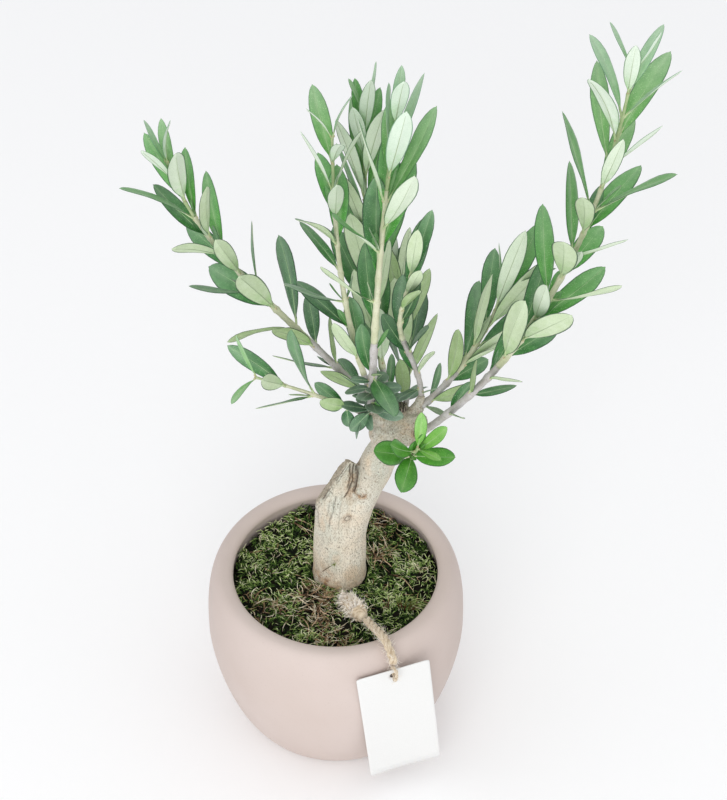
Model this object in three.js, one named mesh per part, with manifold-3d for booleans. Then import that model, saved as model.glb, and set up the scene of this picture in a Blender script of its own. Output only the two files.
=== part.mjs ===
// A small olive tree in a round planter: pot, soil, moss, trunk, limb, boughs, leafy shoots, and a blank card
// tag on twine. Millimetres, +Z up, origin under the middle of the pot's foot, the tag's side towards -Y.
import * as THREE from "three";
import { mergeVertices } from "three/addons/utils/BufferGeometryUtils.js";
import Module from "manifold-3d";

const wasm = await Module();
wasm.setup();

const GAP = 0.3; // between solids that rest on each other

// Pot
const POT_RADIUS = 92;
const POT_HEIGHT = 136.8;
const POT_WIDEST_Z = 83.8;
const FOOT_RADIUS = 65.3;
const RIM_RADIUS = 79.2;
const MOUTH_RADIUS = 72.5;
const LIP_DROP = 4.5;
const BELLY_POWER = 1.48; // roundness below the widest ring
const SHOULDER_POWER = 2.5; // roundness above it
const POT_SIDES = 44;
const PROFILE_STEPS = 6; // from the foot to the widest ring, and again to the rim
const LIP_STEPS = 3;
// The inside, from below the lip down to the floor, as radius and height
const POT_INSIDE = [
  [74.5, 126],
  [74.5, 112],
  [81, 102],
  [82, 82],
  [77, 50],
  [69.5, 25],
  [61, 12],
];

// Soil and moss
const SOIL_Z = 115;
const MOSS_Z = 123.5;
const MOSS_BUMP = 2.2;
const MOSS_WAVE = { x: 0.13, xStart: 0.6, y: 0.15, yStart: -0.4 }; // radians per mm, and those at the axis
const MOSS_BEVEL = 3; // the top starts this far in from the neck
const MOSS_SIDES = 28;
const MOSS_RINGS = 5;

// Trunk and limb: the middle at some heights, with the half widths across X and Y there
const TRUNK = [
  { at: [3.3, 10, SOIL_Z + GAP], half: [21.8, 22] },
  { at: [3.1, 10, 124], half: [19, 19.4] },
  { at: [3.3, 10, 150], half: [18.6, 18.8] },
  { at: [3, 9.5, 178], half: [17.3, 17.4] },
  { at: [2.8, 8.5, 205], half: [15.6, 15.6] },
  { at: [3, 7.7, 226], half: [14, 13.8] },
  { at: [4.5, 7, 246], half: [13, 12.8] },
];
// The limb leans out of the trunk's right side and ends in a knuckle that the shoots spring from
const LIMB = [
  { at: [4.6, 10, 138], half: [15.2, 16] },
  { at: [7.9, 9, 165], half: [14.6, 15] },
  { at: [13.2, 8, 187], half: [13.3, 13.4] },
  { at: [19.2, 6.5, 204], half: [12.5, 12.5] },
  { at: [24.7, 5, 221], half: [12.6, 12] },
  { at: [30.3, 3, 240], half: [12.1, 11.6] },
  { at: [35.4, 1.5, 253], half: [11.2, 11] },
  { at: [38.4, 0.8, 259.5], half: [13.4, 12] },
  { at: [41.6, 0.5, 266], half: [18.4, 13.4] },
  { at: [44.4, 1, 273], half: [18.2, 13] },
  { at: [47, 1.5, 278.5], half: [14, 9.5] },
  { at: [49, 2, 281.5], half: [8, 5.5] },
];
const WOOD_SIDES = 16;
const WOOD_LOBE = { depth: 0.03, turn: 0.03 }; // the wood is a little three-sided, and twists with its height
// The trunk's dead top is sawn off on a steep slope that faces left and back, and broken off behind its peak
const SAW_POINT = [8, 18, 224.5];
const SAW_NORMAL = [-0.84, 0.315, 0.45];
const BREAK_POINT = [7.4, 2, 239.7];
const BREAK_NORMAL = [0.41, 0.63, 0.65];
// The sloping seam where the limb parts from the trunk
const SEAM_POINT = [13.7, 6, 219.5];
const SEAM_NORMAL = [0.914, 0, 0.406];
// A short sawn-off snag on top of the knuckle
const SNAG = { foot: [42.5, 4, 270], tip: [43, 6.5, 284.5], radius: 6, sides: 9 };
// Each shoot leaves the wood from a small collar that starts inside it
const KNUCKLE = [43.5, 1, 270];
const COLLAR = { root: 5.5, proud: 0.5, bend: 4, rings: 4, sides: 8 };

// Shoots. foot is the end of the collar, length the way along the stem to its tip, first the way to its first
// leaves, and girth the stem's radius at the foot. heading is the compass direction, 0 towards -Y and 90
// towards +X, and rise the slope upwards, each at foot and tip. Leaves stand in crossed pairs at the nodes:
// phase turns them round the stem, open is their angle to it at foot and tip, leaf is the longest leaf, and
// seed starts the shoot's random numbers. broad makes its leaves that much wider. wood is where its collar
// starts, if that isn't in the knuckle.
const SHOOTS = {
  centre: {
    foot: [25, -6, 290], length: 207, girth: 2.6, heading: [161, 146], rise: [86, 78],
    nodes: 12, first: 6, phase: 47, seed: 32446, leaf: 61, open: [67, 14],
  },
  left_rear: {
    foot: [29, -1, 287], length: 194, girth: 2.1, heading: [-128, -177], rise: [62, 87],
    nodes: 10, first: 14, phase: 102, seed: 2, leaf: 52, open: [58, 22],
  },
  rear: {
    foot: [38, 7, 281], length: 201, girth: 2.1, heading: [-158, -177], rise: [52, 88],
    nodes: 13, first: 10, phase: 27, seed: 85321, leaf: 57, open: [30, 19],
  },
  right_rear: {
    foot: [58, 8, 291], length: 136, girth: 1.9, heading: [-173, 189], rise: [65, 85],
    nodes: 9, first: 15, phase: 112, seed: 26355, leaf: 48, open: [34, 14],
  },
  mid_right: {
    foot: [58, 6, 283], length: 95, girth: 2.3, heading: [124, 136], rise: [21, 63],
    nodes: 7, first: 6, phase: 175, seed: 17106, leaf: 59.5, open: [45, 27],
  },
  right: {
    foot: [56, -5, 268], length: 295, girth: 2.5, heading: [80, 145], rise: [46, 80],
    nodes: 17, first: 29, phase: 19, seed: 24171, leaf: 58.5, open: [45, 29],
  },
  left: {
    foot: [27, 6, 284], length: 227, girth: 2.5, heading: [-136, -67], rise: [20, 78],
    nodes: 13, first: 14, phase: 36, seed: 56320, leaf: 60, open: [47, 14],
  },
  low_left: {
    foot: [23, -4, 284], length: 89, girth: 1.5, heading: [-79, -72], rise: [37, 31],
    nodes: 4, first: 18, phase: 16, seed: 60579, leaf: 49, open: [30, 38],
  },
  sprout: {
    foot: [46, -13, 258], length: 32, girth: 1.4, heading: [10, 45], rise: [28, 67],
    nodes: 5, first: 10, phase: 65, seed: 66029, leaf: 40, open: [49, 35],
    broad: 1.25, wood: [35, 2, 248],
  },
  rear_low: {
    foot: [47, 7, 274], length: 100, girth: 1.8, heading: [171, 200], rise: [16, 60],
    nodes: 7, first: 11, phase: 64, seed: 12811, leaf: 53, open: [36, 14],
  },
};
const STEM_STEP = 8;
const STEM_SIDES = 4;
const STEM_TIP = 0.75; // radius
const STEM_FINENESS = 1.5; // power of the share of the way, so that a stem thins fastest towards its tip
const TIP_BARE = 1; // from the last pair to the stem's end
const BOUGH_SIDES = 8;
const BOUGH_SHORTEST = 10; // a shorter bare foot stays with the leafy stem
const BARE_END = 4; // the bough stops this far short of the first leaves

// The rule that deals out leaves along a shoot, with t from 0 at the first pair to 1 at the last. A spread is
// the width of a random range, in degrees where it turns something, and a least is its low end.
const RULE = {
  spacing: 0.92, // power of t, so that pairs stand closer towards the tip
  pairSpread: 36,
  rollSpread: 40,
  opening: { least: 0.72, spread: 0.62 },
  length: { least: 0.8, spread: 0.34 },
  width: { atFoot: 0.34, less: 0.1, pace: 1.4, least: 0.86, spread: 0.28 }, // share of the leaf's length
  curve: { middle: 0.42, spread: 52 },
  twistSpread: 63,
  size: { atFoot: 0.52, growth: 1.9, atTip: 0.62, fall: 2.2 }, // share of the longest leaf
};

// Leaves: stations along the midrib from root to tip, and the width there, as shares of length and width
const STATIONS = [0, 0.1, 0.22, 0.38, 0.55, 0.72, 0.88, 1];
const WIDTHS = [0.1, 0.14, 0.58, 0.9, 1, 0.92, 0.58, 0.04];
const CUT_STATIONS = [0, 1, 3, 5, 7]; // the stations this faceted blade keeps
const BLADE_KEEL = [1, 1, 1, 0.8, 0.3]; // thickness at the midrib there
const CURVE_FROM = 0.2; // share of the length where a leaf's curve leaves its opening angle as it is
const BLADE_FOLD = 0.16; // the edges stand above the midrib by this share of the half width
// A leaf that would leave its shoot's space, or touch thick wood, closes towards the stem, or else is skipped
const CLOSINGS = [1, 0.7, 0.45];
const TESTED = [2, 4, 6, 7]; // stations whose points are tested
const SPACE_MARGIN = 1;
const WOOD_MARGIN = 1.5;
const THICK_WOOD = [
  { from: [3.5, 11, 120], to: [1, 9, 222], radius: 18.5 },
  { from: [6.5, 8, 150], to: [25, 5, 221], radius: 16.5 },
  { from: [25, 5, 221], to: [36.5, 1.5, 254], radius: 13 },
  { from: [41, 0.5, 263], to: [45.5, 1, 273], radius: 18.5 },
];

// Twine from a frayed knot on the moss over the rim, to an eye in the hole of a card tag
const TWINE_RADIUS = 3.1;
const TWINE_SIDES = 8;
const TWINE_STEPS = 12;
const TWINE_HEADING = 25.4; // of the upright plane through the pot's axis that the twine lies in
const TWINE_TOP = [80, 140.6]; // distance from the axis, and height, where it is level above the rim
const TWINE_BEND = 14; // radius of its bend over the rim
const TWINE_DROP = 74; // degrees of that bend
const TWINE_BENDS = 5; // steps that it is drawn in
const TWINE_ROUTE = [
  [51.5, 131.5],
  [59, 133.6],
  [68, 137.6],
];
const KNOT = { from: [5.5, -22.5, 129], to: [20.2, -44.3, 130.6], radius: [3, 6.6, 6.2, 4.2], sides: 10 };
const TAG = { width: 52, height: 109, thick: 0.8, corner: 2, hole: 2.6, holeDrop: 5.4 };
const TAG_HEADING = 16; // it faces this way
const TAG_ASKEW = 5.5; // degrees that it hangs turned in its own plane
const TAG_HOLE_Z = 118.7;
const EYE = { radius: 4.6, wire: 1.4, forward: 2, sides: 8, steps: 14 };

const LOOKS = {
  pot: { color: 0xd2bfb4, roughness: 0.75 },
  soil: { color: 0x3a2c20, roughness: 1 },
  moss: { color: 0x4d5a2a, roughness: 1 },
  wood: { color: 0xc4bda8, roughness: 0.85 },
  bough: { color: 0xa9a48c, roughness: 0.8 },
  leaves: { color: 0x3f7340, roughness: 0.5 },
  young: { color: 0x58a03a, roughness: 0.5 },
  twine: { color: 0xb59a78, roughness: 1 },
  card: { color: 0xf3f3f0, roughness: 0.7 },
};

const CUT_SIZE = 400;
const WELD = 1e-4; // points closer than this are one point

const lerp = THREE.MathUtils.lerp;
const rad = THREE.MathUtils.degToRad;
const vec = (a) => new THREE.Vector3(...a);

// Solids and surfaces

function solidOf(geometry) {
  geometry.deleteAttribute("normal");
  geometry.deleteAttribute("uv");
  const merged = mergeVertices(geometry, WELD);
  const vertProperties = new Float32Array(merged.getAttribute("position").array);
  const triVerts = new Uint32Array(merged.index.array);
  return new wasm.Manifold(new wasm.Mesh({ numProp: 3, vertProperties, triVerts }));
}

function geometryOf(solid) {
  const { vertProperties, triVerts } = solid.getMesh();
  const geometry = new THREE.BufferGeometry();
  geometry.setAttribute("position", new THREE.BufferAttribute(vertProperties, 3));
  geometry.setIndex(new THREE.BufferAttribute(triVerts, 1));
  return geometry;
}

// A closed surface through rings of points, each ring anticlockwise seen from the last one
function loft(rings) {
  const sides = rings[0].length;
  const position = rings.flat().flatMap((point) => point.toArray());
  const index = [];
  for (let k = 0; k + 1 < rings.length; k++) {
    for (let i = 0; i < sides; i++) {
      const a = k * sides + i;
      const b = k * sides + ((i + 1) % sides);
      index.push(a, b, b + sides, a, b + sides, a + sides);
    }
  }
  const last = (rings.length - 1) * sides;
  for (let i = 1; i + 1 < sides; i++) {
    index.push(0, i + 1, i, last, last + i, last + i + 1);
  }
  const geometry = new THREE.BufferGeometry();
  geometry.setAttribute("position", new THREE.Float32BufferAttribute(position, 3));
  geometry.setIndex(index);
  return geometry;
}

// A ring of points round a centre, from axis u towards axis v
function ring(centre, u, v, halfU, halfV, sides) {
  return Array.from({ length: sides }, (_, i) => {
    const angle = (2 * Math.PI * i) / sides;
    return centre
      .clone()
      .addScaledVector(u, halfU * Math.cos(angle))
      .addScaledVector(v, halfV * Math.sin(angle));
  });
}

// A round tube along a curve, with its radius as a function of the share of the way
function tube(curve, radius, rows, sides) {
  const frames = curve.computeFrenetFrames(rows);
  return loft(
    Array.from({ length: rows + 1 }, (_, k) => {
      const r = radius(k / rows);
      return ring(curve.getPointAt(k / rows), frames.normals[k], frames.binormals[k], r, r, sides);
    }),
  );
}

// All on the side of a plane that its normal points to, as a box larger than the tree's wood
function beyond(point, normal, offset = 0) {
  const box = new THREE.BoxGeometry(CUT_SIZE, CUT_SIZE, CUT_SIZE);
  box.translate(0, 0, CUT_SIZE / 2 + offset);
  const turn = new THREE.Quaternion().setFromUnitVectors(new THREE.Vector3(0, 0, 1), vec(normal).normalize());
  box.applyQuaternion(turn);
  box.translate(...point);
  return solidOf(box);
}

// Pot, soil and moss

function outsideOfPot() {
  const points = [];
  const steps = PROFILE_STEPS;
  for (let k = 0; k <= steps; k++) {
    const a = (k / steps) * (Math.PI / 2);
    const r = FOOT_RADIUS + (POT_RADIUS - FOOT_RADIUS) * Math.sin(a) ** (2 / BELLY_POWER);
    points.push([r, POT_WIDEST_Z * (1 - Math.cos(a) ** (2 / BELLY_POWER))]);
  }
  for (let k = 1; k <= steps; k++) {
    const a = (k / steps) * (Math.PI / 2);
    const r = RIM_RADIUS + (POT_RADIUS - RIM_RADIUS) * Math.cos(a) ** (2 / SHOULDER_POWER);
    const rise = (POT_HEIGHT - POT_WIDEST_Z) * Math.sin(a) ** (2 / SHOULDER_POWER);
    points.push([r, POT_WIDEST_Z + rise]);
  }
  return points;
}

function lip() {
  const steps = LIP_STEPS;
  return Array.from({ length: steps }, (_, k) => {
    const a = ((k + 1) / steps) * (Math.PI / 2);
    return [
      RIM_RADIUS - (RIM_RADIUS - MOUTH_RADIUS) * Math.sin(a),
      POT_HEIGHT - LIP_DROP * (1 - Math.cos(a)),
    ];
  });
}

// A body of revolution about Z, from points of radius and height that start and end on the axis
function turned(points, sides) {
  const profile = points.map(([r, z]) => new THREE.Vector2(r, z));
  return new THREE.LatheGeometry(profile, sides).rotateX(Math.PI / 2);
}

function pot() {
  return turned([[0, 0], ...outsideOfPot(), ...lip(), ...POT_INSIDE, [0, POT_INSIDE.at(-1)[1]]], POT_SIDES);
}

function soil() {
  const floor = POT_INSIDE.at(-1)[1] + GAP;
  const side = POT_INSIDE.slice(2).map(([r, z]) => [r - GAP, z]);
  side.at(-1)[1] = floor;
  const neck = POT_INSIDE[1][0] - GAP;
  const top = [
    [neck, POT_INSIDE[1][1]],
    [neck, SOIL_Z],
    [0, SOIL_Z],
  ];
  return turned([[0, floor], ...side.reverse(), ...top], POT_SIDES);
}

function mossTop(x, y) {
  const { x: waveX, xStart, y: waveY, yStart } = MOSS_WAVE;
  return MOSS_Z + MOSS_BUMP * Math.sin(waveX * x + xStart) * Math.cos(waveY * y + yStart);
}

// The moss fills the neck of the pot up to a bumpy top, round what stands and lies in it
function moss(cutters) {
  const radius = POT_INSIDE[0][0] - GAP;
  const x = new THREE.Vector3(1, 0, 0);
  const y = new THREE.Vector3(0, 1, 0);
  const flat = (r, z) => ring(new THREE.Vector3(0, 0, z), x, y, r, r, MOSS_SIDES);
  const rings = [flat(radius, SOIL_Z + GAP), flat(radius, MOSS_Z - MOSS_BUMP - 1)];
  for (let k = 0; k < MOSS_RINGS; k++) {
    const r = (radius - MOSS_BEVEL) * (1 - k / MOSS_RINGS);
    rings.push(flat(r, 0).map((p) => p.setZ(mossTop(p.x, p.y))));
  }
  return cutters.reduce((rest, cutter) => rest.subtract(cutter), solidOf(loft(rings)));
}

// Trunk and limb

// Wood through level rings, with its stations joined by smooth curves
function wood(stations, grow = 0) {
  const middle = new THREE.CatmullRomCurve3(stations.map(({ at }) => vec(at)));
  const widths = new THREE.CatmullRomCurve3(stations.map(({ half }) => vec([...half, 0])));
  const rows = (stations.length - 1) * 2;
  const rings = [];
  for (let k = 0; k <= rows; k++) {
    const centre = middle.getPoint(k / rows);
    const half = widths.getPoint(k / rows);
    rings.push(
      Array.from({ length: WOOD_SIDES }, (_, i) => {
        const a = (2 * Math.PI * i) / WOOD_SIDES;
        const lobe = 1 + WOOD_LOBE.depth * Math.cos(3 * a + WOOD_LOBE.turn * centre.z);
        const out = vec([(half.x * lobe + grow) * Math.cos(a), (half.y * lobe + grow) * Math.sin(a), 0]);
        return out.add(centre);
      }),
    );
  }
  return solidOf(loft(rings));
}

// The stub of the trunk, and the limb's lower end, which parts from the limb at the seam
function trunk() {
  const sawn = wood(TRUNK).subtract(beyond(SAW_POINT, SAW_NORMAL));
  const stub = sawn.subtract(beyond(BREAK_POINT, BREAK_NORMAL));
  const start = wood(LIMB).subtract(beyond(SEAM_POINT, SEAM_NORMAL, -GAP / 2));
  return stub.add(start).subtract(limb(GAP));
}

function collar({ foot, girth, wood: root = KNUCKLE, ...shoot }, grow) {
  const end = vec(foot);
  const along = frameAt(pathOf({ foot, ...shoot }), 0).along;
  const control = end.clone().addScaledVector(along, -COLLAR.bend);
  const curve = new THREE.QuadraticBezierCurve3(vec(root), control, end);
  const radius = (t) => lerp(COLLAR.root, girth + COLLAR.proud, Math.sqrt(t)) + grow;
  return solidOf(tube(curve, radius, COLLAR.rings, COLLAR.sides));
}

function snag(grow) {
  const curve = new THREE.LineCurve3(vec(SNAG.foot), vec(SNAG.tip));
  return solidOf(tube(curve, () => SNAG.radius + grow, 1, SNAG.sides));
}

function limb(grow = 0) {
  const collars = Object.values(SHOOTS).map((shoot) => collar(shoot, grow));
  return wasm.Manifold.union([wood(LIMB, grow), snag(grow), ...collars]).intersect(
    beyond(SEAM_POINT, SEAM_NORMAL, GAP / 2 - grow),
  );
}

// Shoots

// Random numbers from 0 to 1, the same ones for the same seed
function randomFrom(seed) {
  let state = seed;
  const next = () => {
    state = (state * 16807) % 2147483647;
    return state / 2147483647;
  };
  for (let k = 0; k < 3; k++) next();
  return next;
}

// The stem's path as points a step apart, with the heading and rise of each step
function pathOf({ foot, length, heading, rise }) {
  const steps = Math.round(length / STEM_STEP);
  const points = [vec(foot)];
  const turns = [];
  for (let k = 0; k < steps; k++) {
    const t = (k + 0.5) / steps;
    const turn = { heading: rad(lerp(...heading, t)), rise: rad(lerp(...rise, t)) };
    turns.push(turn);
    points.push(points.at(-1).clone().addScaledVector(axesOf(turn).along, length / steps));
  }
  return { length, points, turns };
}

function axesOf({ heading, rise }) {
  const [sinH, cosH, sinR, cosR] = [Math.sin(heading), Math.cos(heading), Math.sin(rise), Math.cos(rise)];
  return {
    along: vec([cosR * sinH, -cosR * cosH, sinR]),
    side: vec([cosH, sinH, 0]),
    up: vec([-sinR * sinH, sinR * cosH, cosR]),
  };
}

// The point at a distance along the stem, with its axes there
function frameAt({ length, points, turns }, distance) {
  const f = (distance / length) * turns.length;
  const i = Math.min(Math.floor(f), turns.length - 1);
  return { point: points[i].clone().lerp(points[i + 1], f - i), ...axesOf(turns[i]) };
}

function girthAt({ girth, length }, distance) {
  return lerp(girth, STEM_TIP, (distance / length) ** STEM_FINENESS);
}

// The stem between two distances
function stem(shoot, from, to, stepLength, sides) {
  const path = pathOf(shoot);
  const steps = Math.max(1, Math.round((to - from) / stepLength));
  const rings = Array.from({ length: steps + 1 }, (_, k) => {
    const distance = lerp(from, to, k / steps);
    const { point, side, up } = frameAt(path, distance);
    const r = girthAt(shoot, distance);
    return ring(point, side, up, r, r, sides);
  });
  return solidOf(loft(rings));
}

// Leaf sizes grow quickly from the foot and fall again towards the tip
function sizeShare(t) {
  const { atFoot, growth, atTip, fall } = RULE.size;
  return Math.min(1, atFoot + growth * t) * Math.min(1, atTip + fall * (1 - t));
}

function within({ least, spread }, share) {
  return least + spread * share;
}

// Every leaf that the rule gives a shoot, in crossed pairs at the nodes
function leavesOf({ length, nodes, first, phase, seed, leaf, open, broad = 1, ...shoot }) {
  const random = randomFrom(seed);
  const path = pathOf({ length, ...shoot });
  const { atFoot, less, pace } = RULE.width;
  const leaves = [];
  for (let k = 0; k < nodes; k++) {
    const t = k / (nodes - 1);
    const frame = frameAt(path, first + (length - first - TIP_BARE) * t ** RULE.spacing);
    const pair = rad(phase + 90 * k + (random() - 0.5) * RULE.pairSpread);
    const angle = rad(lerp(...open, t));
    for (let j = 0; j < 2; j++) {
      const roll = pair + Math.PI * j + (random() - 0.5) * rad(RULE.rollSpread);
      const opening = angle * within(RULE.opening, random());
      const long = leaf * sizeShare(t) * within(RULE.length, random());
      const wide = long * broad * (atFoot - less * Math.min(1, pace * t)) * within(RULE.width, random());
      const curve = (random() - RULE.curve.middle) * rad(RULE.curve.spread);
      const twist = (random() - 0.5) * rad(RULE.twistSpread);
      random(); // two more numbers for the little leaf in the axil, which this faceted model leaves out
      random();
      leaves.push({ frame, roll, opening, long, wide, curve, twist });
    }
  }
  return leaves;
}

// The blade at each station: midrib point, half width vector, and normal of the upper side
function bladeOf({ frame, roll, opening, long, wide, curve, twist }, closing) {
  const out = frame.side.clone().multiplyScalar(Math.cos(roll)).addScaledVector(frame.up, Math.sin(roll));
  const point = frame.point.clone();
  let last = 0;
  return STATIONS.map((s, k) => {
    const angle = opening * closing + curve * (s - CURVE_FROM);
    const [sin, cos] = [Math.sin(angle), Math.cos(angle)];
    const forward = frame.along.clone().multiplyScalar(cos).addScaledVector(out, sin);
    const upper = frame.along.clone().multiplyScalar(sin).addScaledVector(out, -cos);
    point.addScaledVector(forward, (s - last) * long);
    last = s;
    const across = forward.clone().cross(upper);
    const [sinT, cosT] = [Math.sin(twist * s), Math.cos(twist * s)];
    const half = (wide / 2) * WIDTHS[k];
    return {
      point: point.clone(),
      half: across.clone().multiplyScalar(cosT).addScaledVector(upper, sinT).multiplyScalar(half),
      upper: upper.clone().multiplyScalar(cosT).addScaledVector(across, -sinT),
    };
  });
}

function nearest(point, others) {
  return Math.min(...others.map((other) => point.distanceTo(other)));
}

function keepsClear(point, own, others) {
  if (nearest(point, own) + SPACE_MARGIN >= nearest(point, others)) return false;
  return THICK_WOOD.every(({ from, to, radius }) => {
    const axis = new THREE.Line3(vec(from), vec(to));
    const closest = axis.closestPointToPoint(point, true, new THREE.Vector3());
    return point.distanceTo(closest) > radius + WOOD_MARGIN;
  });
}

// The leaf's blade as far open as its shoot's space allows, or undefined
function fittedBlade(leaf, own, others) {
  return CLOSINGS.map((closing) => bladeOf(leaf, closing)).find((blade) =>
    TESTED.every((k) => {
      const { point, half } = blade[k];
      const edges = k === TESTED.at(-1) ? [] : [point.clone().add(half), point.clone().sub(half)];
      return [point, ...edges].every((p) => keepsClear(p, own, others));
    }),
  );
}

// A blade as a solid with a keel under its midrib
function bladeSolid(blade) {
  return solidOf(
    loft(
      CUT_STATIONS.map((station, k) => {
        const { point, half, upper } = blade[station];
        const edge = point.clone().addScaledVector(upper, BLADE_FOLD * half.length());
        return [edge.clone().add(half), point.clone().addScaledVector(upper, -BLADE_KEEL[k]), edge.sub(half)];
      }),
    ),
  );
}

function bareLength({ first }) {
  return first - BARE_END;
}

function hasBough(shoot) {
  return bareLength(shoot) >= BOUGH_SHORTEST;
}

function bough(shoot) {
  return stem(shoot, GAP, bareLength(shoot), STEM_STEP, BOUGH_SIDES);
}

// A shoot's leafy part: the stem with its leaves sunk in it
function foliage(name) {
  const shoot = SHOOTS[name];
  const from = hasBough(shoot) ? bareLength(shoot) + GAP : GAP;
  const own = pathOf(shoot).points;
  const others = Object.keys(SHOOTS)
    .filter((other) => other !== name)
    .flatMap((other) => pathOf(SHOOTS[other]).points);
  const blades = leavesOf(shoot)
    .map((leaf) => fittedBlade(leaf, own, others))
    .filter(Boolean);
  const leafyStem = stem(shoot, from, shoot.length, 2 * STEM_STEP, STEM_SIDES);
  return wasm.Manifold.union([leafyStem, ...blades.map(bladeSolid)]);
}

// Twine and tag

function twinePoint(distance, z) {
  const heading = rad(TWINE_HEADING);
  return new THREE.Vector3(distance * Math.sin(heading), -distance * Math.cos(heading), z);
}

function twineCurve() {
  const [distance, z] = TWINE_TOP;
  const bends = TWINE_BENDS;
  const points = TWINE_ROUTE.map((point) => twinePoint(...point));
  for (let k = 0; k <= bends; k++) {
    const a = rad((TWINE_DROP * k) / bends);
    points.push(twinePoint(distance + TWINE_BEND * Math.sin(a), z - TWINE_BEND * (1 - Math.cos(a))));
  }
  return new THREE.CatmullRomCurve3(points);
}

function twine() {
  const section = new THREE.Shape();
  section.setFromPoints(
    Array.from({ length: TWINE_SIDES }, (_, i) => {
      const a = (2 * Math.PI * i) / TWINE_SIDES;
      return new THREE.Vector2(TWINE_RADIUS * Math.cos(a), TWINE_RADIUS * Math.sin(a));
    }),
  );
  return new THREE.ExtrudeGeometry(section, { steps: TWINE_STEPS, extrudePath: twineCurve() });
}

function knot(grow = 0) {
  const curve = new THREE.LineCurve3(vec(KNOT.from), vec(KNOT.to));
  const rows = KNOT.radius.length - 1;
  return solidOf(tube(curve, (t) => KNOT.radius[Math.round(t * rows)] + grow, rows, KNOT.sides));
}

function card() {
  const { width, height, thick, corner, hole, holeDrop } = TAG;
  const shape = new THREE.Shape();
  const [left, right, bottom, top] = [-width / 2, width / 2, holeDrop - height, holeDrop];
  shape.absarc(right - corner, top - corner, corner, 0, Math.PI / 2);
  shape.absarc(left + corner, top - corner, corner, Math.PI / 2, Math.PI);
  shape.absarc(left + corner, bottom + corner, corner, Math.PI, 1.5 * Math.PI);
  shape.absarc(right - corner, bottom + corner, corner, 1.5 * Math.PI, 2 * Math.PI);
  shape.holes.push(new THREE.Path().absarc(0, 0, hole, 0, 2 * Math.PI, true));
  const sheet = new THREE.ExtrudeGeometry(shape, { depth: thick, bevelEnabled: false, curveSegments: 4 });
  return sheet.translate(0, 0, -thick / 2);
}

// The twine's end is whipped into an eye through the tag's hole and over its top edge
function eye() {
  const { radius, wire, forward, sides, steps } = EYE;
  const below = Math.sqrt(radius ** 2 - forward ** 2);
  const loop = new THREE.TorusGeometry(radius, wire, sides, steps).rotateY(Math.PI / 2);
  return loop.translate(0, below, forward);
}

// The whole

const tree = new THREE.Group();

function place(parent, name, geometry, look) {
  const mesh = new THREE.Mesh(geometry, new THREE.MeshStandardMaterial({ metalness: 0, ...look }));
  mesh.name = name;
  parent.add(mesh);
  return mesh;
}

place(tree, "pot", pot(), LOOKS.pot);
place(tree, "soil", soil(), LOOKS.soil);
const twineGrown = solidOf(tube(twineCurve(), () => TWINE_RADIUS + GAP, TWINE_STEPS, TWINE_SIDES));
place(tree, "moss", geometryOf(moss([wood(TRUNK, GAP), knot(GAP), twineGrown])), LOOKS.moss);
place(tree, "trunk", geometryOf(trunk()), LOOKS.wood);
place(tree, "leaning_limb", geometryOf(limb()), LOOKS.wood);

const grownLimb = limb(GAP);
for (const [name, shoot] of Object.entries(SHOOTS)) {
  if (hasBough(shoot)) {
    place(tree, `bough_${name}`, geometryOf(bough(shoot).subtract(grownLimb)), LOOKS.bough);
  }
  const look = name === "sprout" ? LOOKS.young : LOOKS.leaves;
  place(tree, `foliage_${name}`, geometryOf(foliage(name).subtract(grownLimb)), look);
}

place(tree, "twine_knot", geometryOf(knot()), LOOKS.twine);
place(tree, "twine", twine(), LOOKS.twine);
const tagSide = new THREE.Group();
tagSide.rotation.z = rad(TAG_HEADING);
const tagOffset = POT_RADIUS + GAP + TAG.thick / 2;
const hanging = new THREE.Group();
hanging.position.set(tagOffset * Math.tan(rad(TWINE_HEADING - TAG_HEADING)), -tagOffset, TAG_HOLE_Z);
hanging.rotation.x = Math.PI / 2;
place(hanging, "twine_eye", eye(), LOOKS.twine);
place(hanging, "paper_tag", card(), LOOKS.card).rotation.z = rad(TAG_ASKEW);
tagSide.add(hanging);
tree.add(tagSide);

export default tree;
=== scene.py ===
import math

import bmesh
import bpy
import numpy as np
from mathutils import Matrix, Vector, noise


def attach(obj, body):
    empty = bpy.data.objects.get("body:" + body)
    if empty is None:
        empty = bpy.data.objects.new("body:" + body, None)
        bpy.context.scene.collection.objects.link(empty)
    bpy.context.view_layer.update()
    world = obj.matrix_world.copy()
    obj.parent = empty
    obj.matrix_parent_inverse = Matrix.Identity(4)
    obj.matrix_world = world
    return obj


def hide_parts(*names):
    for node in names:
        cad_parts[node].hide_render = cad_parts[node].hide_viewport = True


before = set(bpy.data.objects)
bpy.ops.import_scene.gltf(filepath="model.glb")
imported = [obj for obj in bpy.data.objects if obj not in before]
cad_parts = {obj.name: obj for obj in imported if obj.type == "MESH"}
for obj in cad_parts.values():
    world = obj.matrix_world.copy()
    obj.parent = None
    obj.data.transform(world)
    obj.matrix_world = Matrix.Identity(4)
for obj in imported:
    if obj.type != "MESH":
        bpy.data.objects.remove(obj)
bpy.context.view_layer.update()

MM = 0.001
UP = np.array([0.0, 0.0, 1.0])
TURN = 2 * np.pi
TINY = 1e-3

# Camera, placed in metres: the photo's viewpoint, looking down at the planter
CAMERA_PLACE = (0.0199, -0.9239, 1.1262)
CAMERA_TILT = 48  # degrees up from straight down
CAMERA_LENS = 85.7
CAMERA_SENSOR = 36  # along the picture's long side

# Floor
FLOOR_REACH = 6000
FLOOR_Z = -0.05

# Light, placed in metres: an even sky, and one broad soft lamp in front, a little to the left
SKY_COLOUR = (0.985, 0.992, 1.0, 1.0)
SKY_STRENGTH = 0.88
LAMP_PLACE = (-0.35, -2.4, 1.2)
LAMP_AIM = (0, 0, 0.2)
LAMP_SIZE = 2.2
LAMP_POWER = 30
LAMP_COLOUR = (1, 0.99, 0.975)

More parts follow.
